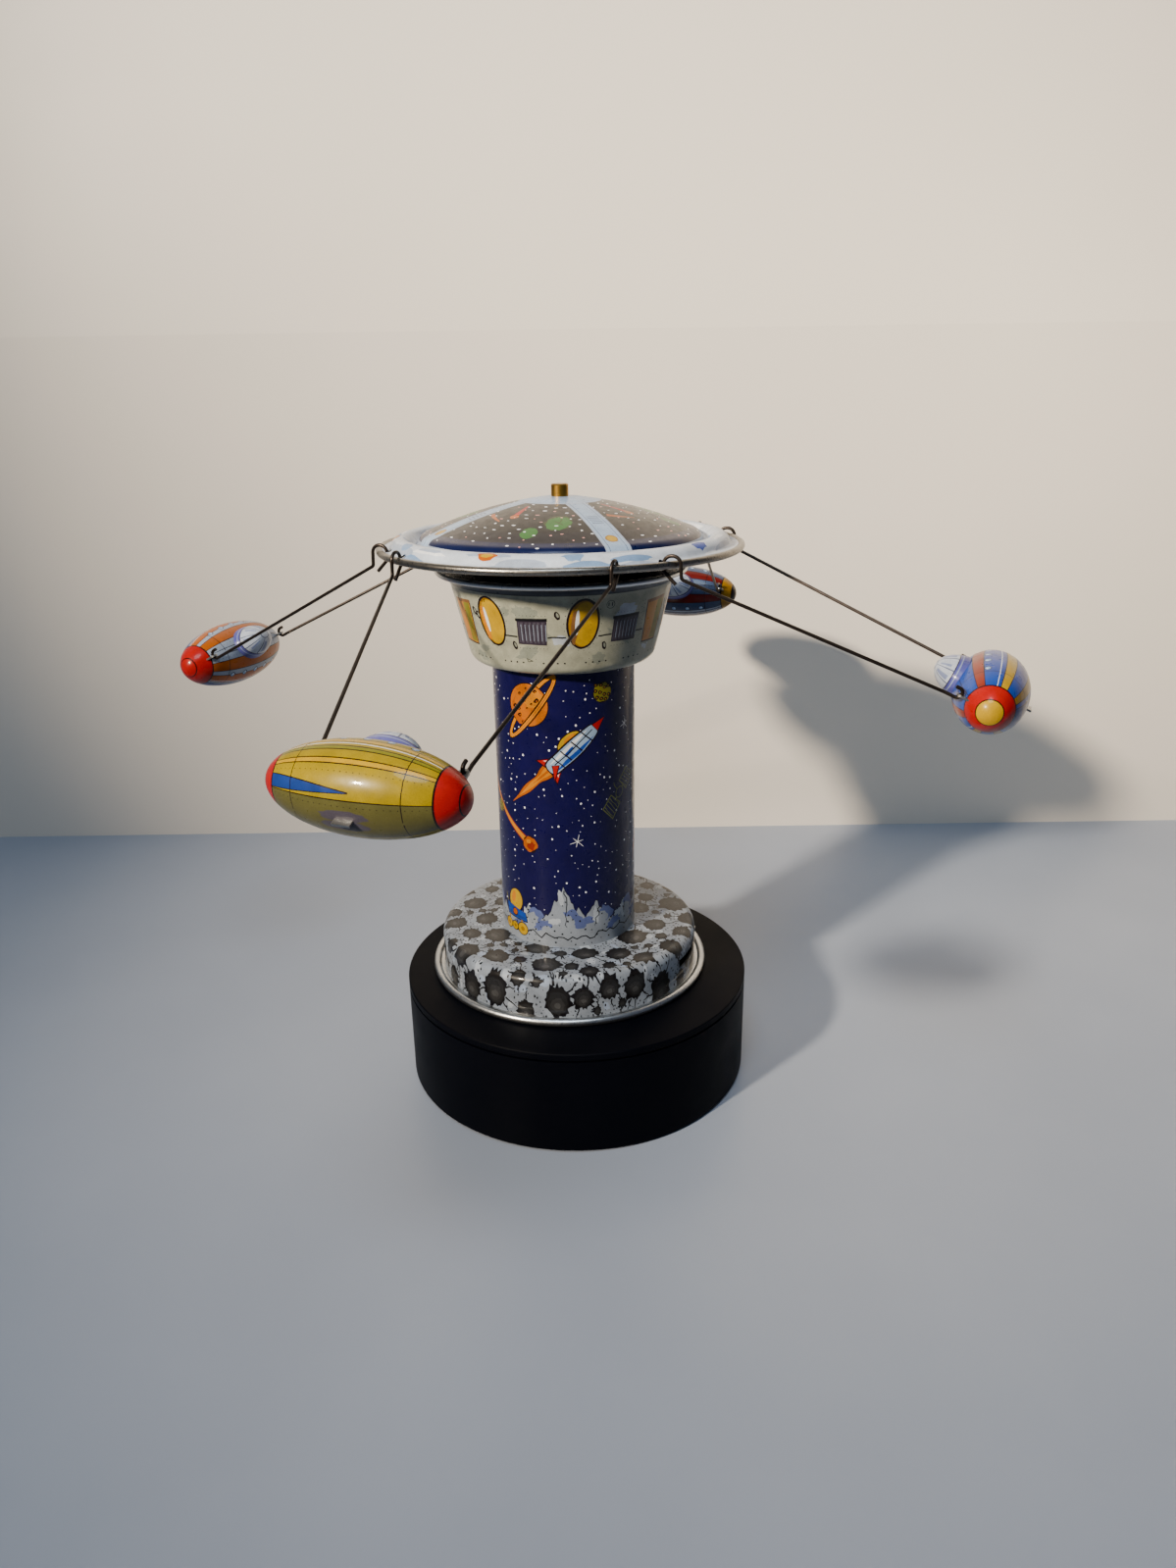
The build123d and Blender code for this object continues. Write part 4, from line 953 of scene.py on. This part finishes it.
PAN_PROFILE = (
    [(PAN_OPENING, PAN_HEIGHT), (40.0, PAN_HEIGHT)]
    + arc((PAN_RADIUS - PAN_EDGE, PAN_HEIGHT),
        (PAN_RADIUS - 0.2929 * PAN_EDGE, PAN_HEIGHT - 0.2929 * PAN_EDGE),
            (PAN_RADIUS, PAN_HEIGHT - PAN_EDGE), 8)
    + [(PAN_RADIUS, PAN_HEIGHT - PAN_EDGE), (PAN_RADIUS, 1.6)]
)
PAN_FLAT = 70.0


def pan_art():
    art = Canvas(5)
    art.ground = "moon"
    rng = art.random
    for spot in scattered(rng, 150, 5.0, lambda r: flat_point(r.uniform(32, 69), r.uniform(0, 360))):
        art.oval(spot, rng.uniform(1.2, 3.4), rng.uniform(0.8, 2.2),
            "moon_light" if rng.random() < 0.6 else "ring_shade", rng.uniform(0, 180), 12, 0.3)
    craters = []
    for radius, count in ((6.4, 12), (5.4, 26), (4.2, 30), (3.0, 26), (1.9, 40)):
        for _ in range(count * 40):
            if count == 0:
                break
            spot = flat_point(rng.uniform(34.5, 68.5), rng.uniform(0, 360))
            if all(math.hypot(spot[0] - c[0], spot[1] - c[1]) > radius + c[2] + 1.5 for c in craters):
                craters.append((*spot, radius * rng.uniform(0.88, 1.08)))
                count -= 1
    for x, y, radius in craters:
        out = math.hypot(x, y)
        turn = math.degrees(math.atan2(y, x)) + 90
        inward = (-x / out, -y / out)
        spikes = 0.2 if out < 50 else 0.3
        for _ in range(rng.choice((3, 4, 5))):
            a = rng.uniform(0, 360)
            start = (x + radius * math.cos(a), y + radius * math.sin(a))
            reach = radius * rng.uniform(0.5, 1.1)
            end = (x + (radius + reach) * math.cos(a), y + (radius + reach) * math.sin(a))
            art.stroke(wave_line(rng, start, end, 4, 0.5), 0.75, "black", 0.28)
        rx, ry = radius * rng.uniform(0.95, 1.12), radius * rng.uniform(0.82, 0.98)
        art.oval((x, y), rx, ry, "black", turn, 40, 0.09, spikes)
        art.oval((x, y), rx * 0.9, ry * 0.9, "crater_dark", turn, 26, 0.08)
        art.oval((x - inward[0] * 0.08 * radius, y - inward[1] * 0.08 * radius), rx * 0.8, ry * 0.76,
            "crater", turn, 22, 0.08)
        art.oval((x - inward[0] * 0.2 * radius, y - inward[1] * 0.2 * radius), rx * 0.56, ry * 0.48,
            "crater_mid", turn + rng.uniform(-15, 15), 18, 0.14)
        if radius > 3.5:
            art.oval((x - inward[0] * 0.26 * radius, y - inward[1] * 0.26 * radius), rx * 0.3, ry * 0.2,
                "crater_light", turn, 12, 0.2)
            for _ in range(4):
                a, b = rng.uniform(0, 360), rng.uniform(0.2, 0.65) * radius
                spot = (x + b * math.cos(a), y + b * math.sin(a))
                art.stroke([spot, (spot[0] + rng.uniform(-0.8, 0.8), spot[1] + rng.uniform(-0.8, 0.8))],
                    0.25, "crater_dark")
    def open_ground(r):
        spot = flat_point(r.uniform(31.8, 69.5), r.uniform(0, 360))
        return spot if all(math.hypot(spot[0] - c[0],
            spot[1] - c[1]) > 1.15 * c[2] + 0.5 for c in craters) else None
    for spot in scattered(rng, 1000, 1.35, open_ground):
        size = rng.uniform(0.2, 0.6)
        art.oval(spot, size, size * rng.uniform(0.6, 1.0), "black", rng.uniform(0, 180), 7, 0.25)
    return art


def make_pan():
    surface = Turned(PAN_PROFILE, flip=True)
    lengths = surface.length
    flat_knots = [PAN_OPENING, PAN_RADIUS - PAN_EDGE, PAN_RADIUS - PAN_EDGE + 3.4, PAN_FLAT]
    wall_start = lengths[-2]
    length_knots = [0.0, PAN_RADIUS - PAN_EDGE - PAN_OPENING, wall_start, lengths[-1]]

    def lay(uv):
        radius = np.hypot(uv[:, 0], uv[:, 1])
        return surface.at(np.arctan2(uv[:, 1], uv[:, 0]), np.interp(radius, flat_knots, length_knots))

    def flat_radius(z):
        return float(np.interp(wall_start + PAN_HEIGHT - PAN_EDGE - z, length_knots, flat_knots))

    span = np.linspace(SLOT_START, SLOT_END, 16)
    slot = [flat_point(flat_radius(SLOT_HIGH), a) for a in span] + [flat_point(flat_radius(SLOT_LOW),
        a) for a in span[::-1]]
    cut_radii = list(np.interp(lengths[1:-1], length_knots, flat_knots)) + [30.9, 48.0, 64.0]
    piece = Piece()
    piece.sheet(pan_art(), disc_points(PAN_FLAT), [disc_points(PAN_OPENING), slot],
        rings(cut_radii) + spokes(20, 72), lay, TIN, 0, 1)
    bead = [(RIM_RADIUS + RIM_BEAD * math.cos(a),
        RIM_BEAD + RIM_BEAD * math.sin(a)) for a in [2 * math.pi * k / 24 for k in range(24)]]
    piece.revolve(bead, 2)
    low, high = RIM_BEAD - TIN / 2, RIM_BEAD + TIN / 2
    piece.revolve([(PAN_RADIUS - TIN, low), (RIM_RADIUS - 1, low), (RIM_RADIUS - 1, high),
        (PAN_RADIUS - TIN, high)], 2)
    return finish_piece(piece, "printed_base_pan", [LITHO_PALE, BARE_TIN, RIM_TIN], "toy_frame",
        ["base_pan"])


# ---- canopy ---------------------------------------------------------------------------------------
CANOPY_PROFILE = [(r, CANOPY_FLANGE + z) for r, z in (
    [(1.52, 19.2), (5.0, 19.2)]
    + arc((9.0, 18.9), (33.0, 13.9), (56.0, 5.8), 12)
    + arc((56.0, 5.8), (58.7, 4.1), (59.6, 2.0), 6)
    + arc((59.6, 2.0), (60.6, 1.0), (62.0, 1.4), 5)
    + arc((62.0, 1.4), (66.8, 4.6), (71.2, 1.2), 12)
    + arc((71.2, 1.2), (71.9, 0.45), (73.0, 0.2), 5)
    + [(73.0, 0.2), (75.0, 0.2)]
)]
GIRDERS = [-67.0 + 90.0 * k for k in range(4)]


def canopy_art():
    art = Canvas(31)
    art.ground = "ring"
    rng = art.random
    for k in range(60):
        degrees = rng.uniform(0, 360)
        ink = rng.choice(["ring_shade", "ring_shade", "white", "ring_blue"])
        spot = flat_point(rng.uniform(61.5, 74), degrees)
        art.oval(spot, rng.uniform(6, 12), rng.uniform(0.5, 1.3), ink, degrees + 90, 18, 0.12)
    for degrees, ink in ((-112, "orange"), (-38, "blue"), (20, "orange"), (75, "yellow_deep"),
            (130, "blue"), (185, "orange"), (-150, "ring_blue"), (-85, "ring_blue")):
        spot = flat_point(68.8, degrees)
        art.oval(spot, 4.2, 1.9, ink, degrees + 90, 18, 0.15)
        if ink in ("orange", "yellow_deep"):
            art.oval(spot, 2.4, 1.1, "yellow", degrees + 90, 12, 0.2)
    art.fill(disc_points(60.6), "ring_shade")
    art.fill(disc_points(59.2), "navy")
    art.fill(disc_points(54.0), "canopy_low")
    art.fill(disc_points(46.5), "canopy_panel")
    for quarter, start in enumerate(GIRDERS):
        middle = start + 45
        art.oval(flat_point(38, middle + 22), 6.6, 5.4, "olive_dark", middle, 24, 0.1)
        art.oval(flat_point(38.3, middle + 22), 5.9, 4.8, "green", middle, 24, 0.1)
        art.oval(flat_point(46.5, middle + 8), 4.2, 3.5, "green", middle, 20, 0.12)
        for turn, radius in ((20, 3.4), (150, 2.6), (260, 1.8)):
            spot = flat_point(38, middle + 22)
            art.stroke(wave_line(rng, spot,
                (spot[0] + radius * math.cos(turn), spot[1] + radius * math.sin(turn)), 3, 0.4), 0.5,
                    "olive_dark")
        comet = flat_point(21, middle - 14)
        head = flat_point(33, middle - 10)
        art.stroke([comet, head], 0.8, "red", 2.8)
        art.oval(head, 1.9, 1.9, "orange", wobble=0.1)
        arc_points = [flat_point(33 + 5 * t, middle - 32 + 16 * t) for t in (0, 0.25, 0.5, 0.75, 1)]
        art.stroke(arc_points, 2.0, "orange", 0.5)
        for spot in scattered(rng, 74, 3.4, lambda r,
                m=middle: flat_point(r.uniform(18.5, 57.5), m + r.uniform(-42, 42))):
            degrees = math.degrees(math.atan2(spot[1], spot[0]))
            art.oval(spot, rng.uniform(0.35, 1.0), rng.uniform(0.22, 0.42),
                rng.choice(["star", "star", "star", "pink"]), degrees + 90, 8)
    for start in GIRDERS:
        def bar(points, s=start):
            return placed(points, (0, 0), s)
        art.fill(bar([(14, -4.4), (60.0, -5.4), (60.0, 5.4), (14, 4.4)]), "ring_shade")
        art.fill(bar([(14, -3.9), (60.0, -4.8), (60.0, 4.8), (14, 3.9)]), "girder")
        art.stroke(bar([(17, -2.9), (59, -3.6)]), 0.3, "girder_tick")
        art.stroke(bar([(17, 2.9), (59, 3.6)]), 0.3, "girder_tick")
        for k in range(5):
            x = 33.0 + 1.6 * k
            art.stroke(bar([(x, -2.2), (x + 0.3, 2.2)]), 0.55, "girder_tick")
        for k in range(16):
            for side in (-1, 1):
                art.oval(bar([(19 + 2.5 * k, 1.9 * side)])[0], 0.16, 0.16, "outline", count=6)
        art.oval(bar([(52, 0)])[0], 2.5, 2.5, "yellow_deep", wobble=0.05)
        art.oval(bar([(52, 0)])[0], 1.9, 1.9, "yellow", wobble=0.05)
    art.fill(disc_points(17.4, 60), "ring_shade")
    art.fill(disc_points(17.0, 60), "girder")
    for k in range(36):
        art.oval(flat_point(15.4, 10 * k), 0.2, 0.2, "outline", count=6)
    for spot in scattered(rng, 60, 1.6, lambda r: flat_point(r.uniform(5, 14), r.uniform(0, 360))):
        art.oval(spot, 0.2, 0.2, "girder_tick", count=6)
    return art


def make_canopy():
    surface = Turned(CANOPY_PROFILE, flip=True)
    radii = surface.points[:, 0]

    def lay(uv):
        radius = np.hypot(uv[:, 0], uv[:, 1])
        return surface.at(np.arctan2(uv[:, 1], uv[:, 0]), np.interp(radius, radii, surface.length))

    holes = [disc_points(1.52, 24)]
    for azimuth, _, _ in GONDOLAS.values():
        for side in (-1, 1):
            rim = flat_point(CANOPY_RIM_RADIUS, azimuth + side * HOOK_SPREAD)
            out = flat_point(HOOK_HOLE_INSET, azimuth)
            holes.append(placed(disc_points(HOOK_HOLE_RADIUS, 20), (rim[0] - out[0], rim[1] - out[1]), 0))
    piece = Piece()
    piece.sheet(canopy_art(), disc_points(75.0), holes, rings(radii[1:-1]) + spokes(1, 76), lay,
        CANOPY_SHEET, 0, 1)
    bead = [(CANOPY_RIM_RADIUS + CANOPY_BEAD * math.cos(a),
        CANOPY_RIM + CANOPY_BEAD * math.sin(a)) for a in [2 * math.pi * k / 24 for k in range(24)]]
    piece.revolve(bead, 2)
    return finish_piece(piece, "printed_canopy", [LITHO, DARK_TIN, CANOPY_EDGE], "rotor",
        ["canopy"])


# ---- rockets --------------------------------------------------------------------------------------
# The 'low' colour fills the belly band. On the right rocket (deep blue under blue) and the front rocket
# (dark olive under gold) it is a darker copy of the base colour: painted shade on the underside. The back
# rocket's red belly band is print.
ROCKETS = {
    "right": {
        "base": "blue", "low": "blue_deep", "tail": "red", "centre": "yellow", "nose": "red",
        "stripes": [(86, 101, "yellow"), (128, 142, "yellow_deep"), (34, 50, "orange_deep")],
    },
    "back": {
        "base": "dusk_blue", "low": "red", "tail": "yellow_deep", "centre": "outline", "nose": "red",
        "stripes": [(20, 40, "dusk_red"), (108, 150, "dusk_red"), (64, 70, "ring_shade")],
    },
    "left": {
        "base": "ring_shade", "low": "ring_blue", "tail": "blue", "centre": "yellow", "nose": "red",
        "stripes": [(88, 132, "blue_deep"), (58, 80, "orange"), (22, 44, "orange"),
            (150, 168, "orange_deep")],
    },
    "front": {
        "base": "rocket_gold", "low": "belly_olive_shade", "tail": "red", "centre": "orange", "nose": "red",
        "stripes": [(40, 47, "yellow"), (66, 73, "yellow"), (84, 89, "olive"), (104, 110, "yellow")],
        "wedge": (124, 152, "blue_deep"),
    },
}
MERIDIAN = [
    (ROCKET_RADIUS * math.sin(t), -ROCKET_HALF_LENGTH * math.cos(t)) for t in np.linspace(0, math.pi, 49)
]


def rocket_matrix(name):
    """Rocket's own frame in millimetres: X to its nose, Z towards the swing axis."""
    azimuth, fling, drift = GONDOLAS[name]
    az, fling = math.radians(azimuth), math.radians(fling)
    outward = Vector((math.cos(az), math.sin(az), 0))
    nose = Vector((-math.sin(az), math.cos(az), 0))
    up = outward * -math.sin(fling) + Vector((0, 0, math.cos(fling)))
    middle = outward * SWING_RADIUS + Vector((0, 0,
        CANOPY_RIM + PLINTH_TOP)) - up * ROCKET_REACH + nose * drift
    frame_axes = Matrix((nose, up.cross(nose), up)).transposed().to_4x4()
    return Matrix.Translation(middle) @ frame_axes


def rocket_art(scheme, length, seed):
    """Bands, stripes and rivets over one half shell; across runs from the wires' side to the belly."""
    art = Canvas(seed)
    art.ground = scheme["base"]
    rng = art.random
    degree = math.radians(1) * ROCKET_RADIUS

    def across(degrees):
        return degrees * degree

    def band(start, end, low, high, ink, end_low=None, end_high=None):
        end_low, end_high = (low, high) if end_low is None else (end_low, end_high)
        art.fill([(start, across(low)), (end, across(end_low)), (end, across(end_high)),
            (start, across(high))], ink)

    # Belly band: painted shade on the underside where the low colour is a darker copy of the base.
    band(-1, length + 1, 153, 185, scheme["low"])
    for low, high, ink in scheme["stripes"]:
        band(5, length - 6, low - 1.6, high + 1.6, "outline")
        band(5, length - 6, low, high, ink)
    if "wedge" in scheme:
        low, high, ink = scheme["wedge"]
        middle = 0.3 * low + 0.7 * high
        band(5, 0.53 * length, low - 1.6, high + 1.6, "outline", middle - 1.0, middle + 1.0)
        band(5, 0.52 * length, low, high, ink, middle, middle + 0.4)
        # Grey patch low on the front rocket's belly: painted shade.
        art.oval((0.5 * length, across(173)), 8.0, 2.0, "vent_grey_and_belly_shade", wobble=0.1)
    # The white line at 76.5 degrees is a painted highlight along the rocket's side.
    for degrees, ink in ((76.5, "white"), (152, "outline"), (5, "outline")):
        band(9, length - 9, degrees, degrees + 1.4, ink)
    for start, end, ink in (
        (-1, 12.2, "outline"), (-1, 11.6, scheme["tail"]), (-1, 5.6, "outline"), (-1, 5.1, scheme["centre"]),
        (length - 12.6, length + 1, "outline"), (length - 12.0, length + 1, scheme["nose"]),
        (length - 5.0, length - 4.5, "outline"),
    ):
        band(start, end, -5, 185, ink)
    for k in range(5):
        spot = (length * 0.3 + length * 0.1 * k, across(57))
        art.oval(spot, 1.5, 1.5, "outline", count=18)
        art.oval(spot, 1.15, 1.15, "sky" if scheme["base"] != "sky" else "yellow", count=16)
        art.oval((spot[0] - 0.35, spot[1] - 0.3), 0.4, 0.5, "white", count=8)
    for degrees in (14, 83, 120, 160):
        for k in range(26):
            art.oval((14 + (length - 28) * k / 25, across(degrees)), 0.18, 0.18, "outline", count=6)
    for start in (length * 0.27, length * 0.73):
        art.stroke([(start + rng.uniform(-0.1, 0.1), across(a)) for a in range(2, 180, 8)], 0.3, "outline")
    return art


def make_rocket(name):
    matrix = rocket_matrix(name)
    surface = Turned(MERIDIAN, flip=False)
    length = float(surface.length[-1])
    width = math.pi * ROCKET_RADIUS
    materials = [LITHO, BARE_TIN]
    body = f"rocket_{name}"
    for number, (half, side) in enumerate((("outer_shell", -1), ("inner_shell", 1))):
        def lay(uv, side=side):
            angle = uv[:, 1] / ROCKET_RADIUS
            p, n = surface.at(angle, uv[:, 0])
            return [np.stack([q[:, 2], side * q[:, 1], q[:, 0]], 1) for q in (p, n)]

        outline = [(0, 0), (length, 0), (length, width), (0, width)]
        cuts = [[(u, -1), (u, width + 1)] for u in surface.length[1:-1]]
        cuts += [[(-1, v), (length + 1, v)] for v in np.linspace(0, width, 25)[1:-1]]
        piece = Piece()
        art = rocket_art(ROCKETS[name], length, 40 + number)
        piece.sheet(art, outline, [], cuts, lay, ROCKET_SHEET, 0, 1)
        if side == 1:
            for along in (-LUG_OFFSET, LUG_OFFSET):
                add_lug(piece, along)
        else:
            add_tab(piece)
        finish_piece(piece, f"{body}_{half}_printed", materials, body, [f"{body}_{half}"],
            matrix)
    make_dome(name, matrix)


def plate(piece, outline, holes, y_front, thickness):
    """Flat plate in the seam plane; its front faces local +Y."""
    art = Canvas(1)
    art.ground = "white"

    def lay(uv):
        flat = np.stack([uv[:, 0], np.full(len(uv), y_front), uv[:, 1]], 1)
        return flat, np.tile([0.0, 1.0, 0.0], (len(uv), 1))

    piece.sheet(art, outline, holes, [], lay, thickness, 1, 1)


def add_lug(piece, along):
    """Hanging lug: a round-topped ear with the wire's hole."""
    def circle(radius, angles):
        return [(along + radius * math.cos(a), LUG_HOLE_HEIGHT + radius * math.sin(a)) for a in angles]

    foot = ROCKET_RADIUS * math.sqrt(1 - (LUG_OFFSET / ROCKET_HALF_LENGTH) ** 2) - 2 * ROCKET_SHEET
    outline = [(along - LUG_RADIUS, foot), (along + LUG_RADIUS, foot)] + circle(LUG_RADIUS,
        np.linspace(0, math.pi, 17))
    hole = circle(LUG_HOLE_RADIUS, np.linspace(0, 2 * math.pi, 19)[:-1])
    plate(piece, outline, [hole], LUG_SHEET, LUG_SHEET)


def add_tab(piece):
    """Bent tab that locks the two shells together at the belly."""
    plate(piece, [(-3.0, -16.5), (3.0, -16.5), (3.0, -14.0), (-3.0, -14.0)], [], 0.0, 0.8)


def make_dome(name, matrix):
    """Cockpit canopy: silver-white lacquer, a violet foot and thin printed frames."""
    long, wide, high, centre = 12.0, 8.0, 12.6, 10.6
    art = Canvas(60)
    art.ground = "dome"
    around = 2 * math.pi * 10.0
    foot, top = 1.9, high * math.pi / 2
    art.fill([(0, 0), (around, 0), (around, 6.2), (0, 6.2)], "outline")
    art.fill([(0, 0), (around, 0), (around, 5.8), (0, 5.8)], "dome_foot")
    art.fill([(0, 4.4), (around, 4.4), (around, 4.9), (0, 4.9)], "dome_shade")
    for k in range(8):
        u = around * (k + 0.5) / 8
        art.fill([(u - 0.35, 6), (u + 0.35, 6), (u + 0.35, 17.2), (u - 0.35, 17.2)], "dome_frame")
        art.fill([(u + 1.4, 7.4), (u + 4.4, 7.4), (u + 4.4, 14.4),
            (u + 1.4, 14.4)] if k % 2 else [(u + 1.6, 8), (u + 3.2, 8), (u + 3.2, 14), (u + 1.6, 14)],
                "dome_shade")
    art.fill([(0, 16.8), (around, 16.8), (around, 17.4), (0, 17.4)], "dome_frame")
    outline = [(0, foot), (around, foot), (around, top), (0, top)]
    cuts = [[(around * k / 48, 0), (around * k / 48, top + 1)] for k in range(1, 48)]
    cuts += [[(-1, v), (around + 1, v)] for v in np.linspace(foot, top, 18)[1:-1]]

    def lay(uv):
        a, t = uv[:, 0] / 10.0, uv[:, 1] / high
        unit = np.stack([np.cos(t) * np.cos(a), np.cos(t) * np.sin(a), np.sin(t)], 1)
        n = unit / np.array([long, wide, high])
        return unit * np.array([long, wide, high]) + np.array([0, 0, centre]), n / np.linalg.norm(n,
            axis=1)[:, None]

    piece = Piece()
    piece.sheet(art, outline, [], cuts, lay, 0.7, 0, 1)
    body = f"rocket_{name}"
    finish_piece(piece, f"{body}_dome_printed", [LITHO_PALE, BARE_TIN], body, [f"{body}_dome"],
        matrix)


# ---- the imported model's own nodes -----------------------------------------------------------------
NODE_MATERIALS = {
    "plinth_drum": PLINTH, "plinth_top_disc": PLINTH, "plinth_feet": RUBBER,
    "mainspring": SPRING, "click_spring": SPRING,
    "great_wheel": BRASS, "lay_wheel": BRASS, "top_bearing_bush": BRASS,
    "thrust_collar": BRASS, "canopy_hub": BRASS, "brass_cap": BRASS,
}


def dress_nodes():
    for name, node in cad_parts.items():
        material = WIRE if name.endswith("_wire") else NODE_MATERIALS.get(name, STEEL)
        if not node.material_slots:
            node.data.materials.append(material)
        for material_slot in node.material_slots:
            material_slot.link = "OBJECT"
            material_slot.material = material


# ---- studio ---------------------------------------------------------------------------------------
# Metres. The wall is two boards that meet at BOARD_JOIN above the floor.
STAGE_REACH = 3
WALL_AT = 0.280
BOARD_JOIN = 0.343
# Name, place, target, size, beam in degrees, watts and colour.
LIGHTS = (
    ("window", (-1.02, -1.08, 0.95), (0.34, 0.28, 0.32), 0.12, 44, 6.8, (1.0, 0.85, 0.66)),
    ("ceiling", (-0.1, -0.7, 1.45), (0, 0, 0.12), 0.6, 180, 10.5, (0.78, 0.89, 1.0)),
)
ROOM_COLOUR = (0.5, 0.66, 0.95, 1)
ROOM_STRENGTH = 0.1
# Millimetres and degrees; the pitch is downward from level.
CAMERA_PLACE = (10.0, -465.2, 305.7)
CAMERA_PITCH = 19.95
CAMERA_ROLL = -0.83
CAMERA_LENS = 24.83
SENSOR_HEIGHT = 36.0
SENSOR_WIDTH = 27.0


def stage_material(name, colour, other, rough, scale, one_sided=False):
    m = Nodes(name)
    cloud = m.noise(scale, 4.0, 0.5)
    m.join(m.mix(m.spread(cloud, 0.0, 1.0), linear(colour), linear(other)), m.shader.inputs["Base Color"])
    m.join(m.spread(cloud, rough, rough + 0.08), m.shader.inputs["Roughness"])
    if one_sided:
        see_through_from_behind(m)
    return m.material


def see_through_from_behind(m):
    """A backdrop board that shows only its front, so that the object can be seen from every side."""
    back = m.new("ShaderNodeNewGeometry").outputs["Backfacing"]
    clear = m.new("ShaderNodeBsdfTransparent")
    choice = m.new("ShaderNodeMixShader")
    m.join(back, choice.inputs[0])
    m.join(m.shader.outputs["BSDF"], choice.inputs[1])
    m.join(clear.outputs["BSDF"], choice.inputs[2])
    m.join(choice.outputs["Shader"], m.material.node_tree.nodes["Material Output"].inputs["Surface"])


def stage_plane(name, corners, material):
    mesh = bpy.data.meshes.new(name)
    mesh.from_pydata(corners, [], [[0, 1, 2, 3]])
    mesh.materials.append(material)
    plane = bpy.data.objects.new(name, mesh)
    bpy.context.scene.collection.objects.link(plane)


def add_light(name, place, target, size, spread, power, colour):
    """Round soft light; the spread in degrees narrows its beam."""
    data = bpy.data.lights.new(name, "AREA")
    data.shape = "DISK"
    data.size = size
    data.spread = math.radians(spread)
    data.energy = power
    data.color = colour
    lamp = bpy.data.objects.new(name, data)
    lamp.location = place
    lamp.rotation_euler = (Vector(place) - Vector(target)).to_track_quat("Z", "Y").to_euler()
    bpy.context.scene.collection.objects.link(lamp)


def make_studio():
    floor = stage_material("floor_paper", "949dad", "8d96a6", 0.34, 6.0)
    wall = stage_material("wall_board", "d6cfc4", "d2cbc1", 0.5, 5.0, True)
    upper = stage_material("upper_board", "dcd5ca", "d8d1c6", 0.42, 5.0, True)
    reach = STAGE_REACH
    stage_plane("floor", [(-reach, -reach, 0), (reach, -reach, 0), (reach, reach, 0), (-reach, reach, 0)],
        floor)
    for name, low, high, board in (("wall", 0, BOARD_JOIN, wall), ("upper_wall", BOARD_JOIN, reach, upper)):
        corners = [(-reach, WALL_AT, low), (reach, WALL_AT, low), (reach, WALL_AT, high),
            (-reach, WALL_AT, high)]
        stage_plane(name, corners, board)
    for light in LIGHTS:
        add_light(*light)
    world = bpy.data.worlds.new("room")
    world.use_nodes = True
    background = world.node_tree.nodes["Background"]
    background.inputs["Color"].default_value = ROOM_COLOUR
    background.inputs["Strength"].default_value = ROOM_STRENGTH
    bpy.context.scene.world = world


def make_camera():
    """Camera from the fit to the object's outlines."""
    place = Vector(CAMERA_PLACE) * MM
    pitch, roll = math.radians(CAMERA_PITCH), math.radians(CAMERA_ROLL)
    forward = Vector((0, math.cos(pitch), -math.sin(pitch)))
    up = Vector((0, math.sin(pitch), math.cos(pitch)))
    right = Vector((1, 0, 0))
    turned_right = right * math.cos(roll) + up * math.sin(roll)
    turned_up = up * math.cos(roll) - right * math.sin(roll)
    data = bpy.data.cameras.new("camera")
    data.sensor_fit = "VERTICAL"
    data.sensor_height = SENSOR_HEIGHT
    data.sensor_width = SENSOR_WIDTH
    data.lens = CAMERA_LENS
    data.clip_start = 0.02
    data.clip_end = 20
    camera = bpy.data.objects.new("camera", data)
    camera.matrix_world = Matrix.Translation(place) @ Matrix((turned_right, turned_up,
        -forward)).transposed().to_4x4()
    bpy.context.scene.collection.objects.link(camera)
    bpy.context.scene.camera = camera


make_camera()
make_studio()
dress_nodes()
make_column()
make_station()
make_pan()
make_canopy()
for gondola in GONDOLAS:
    make_rocket(gondola)
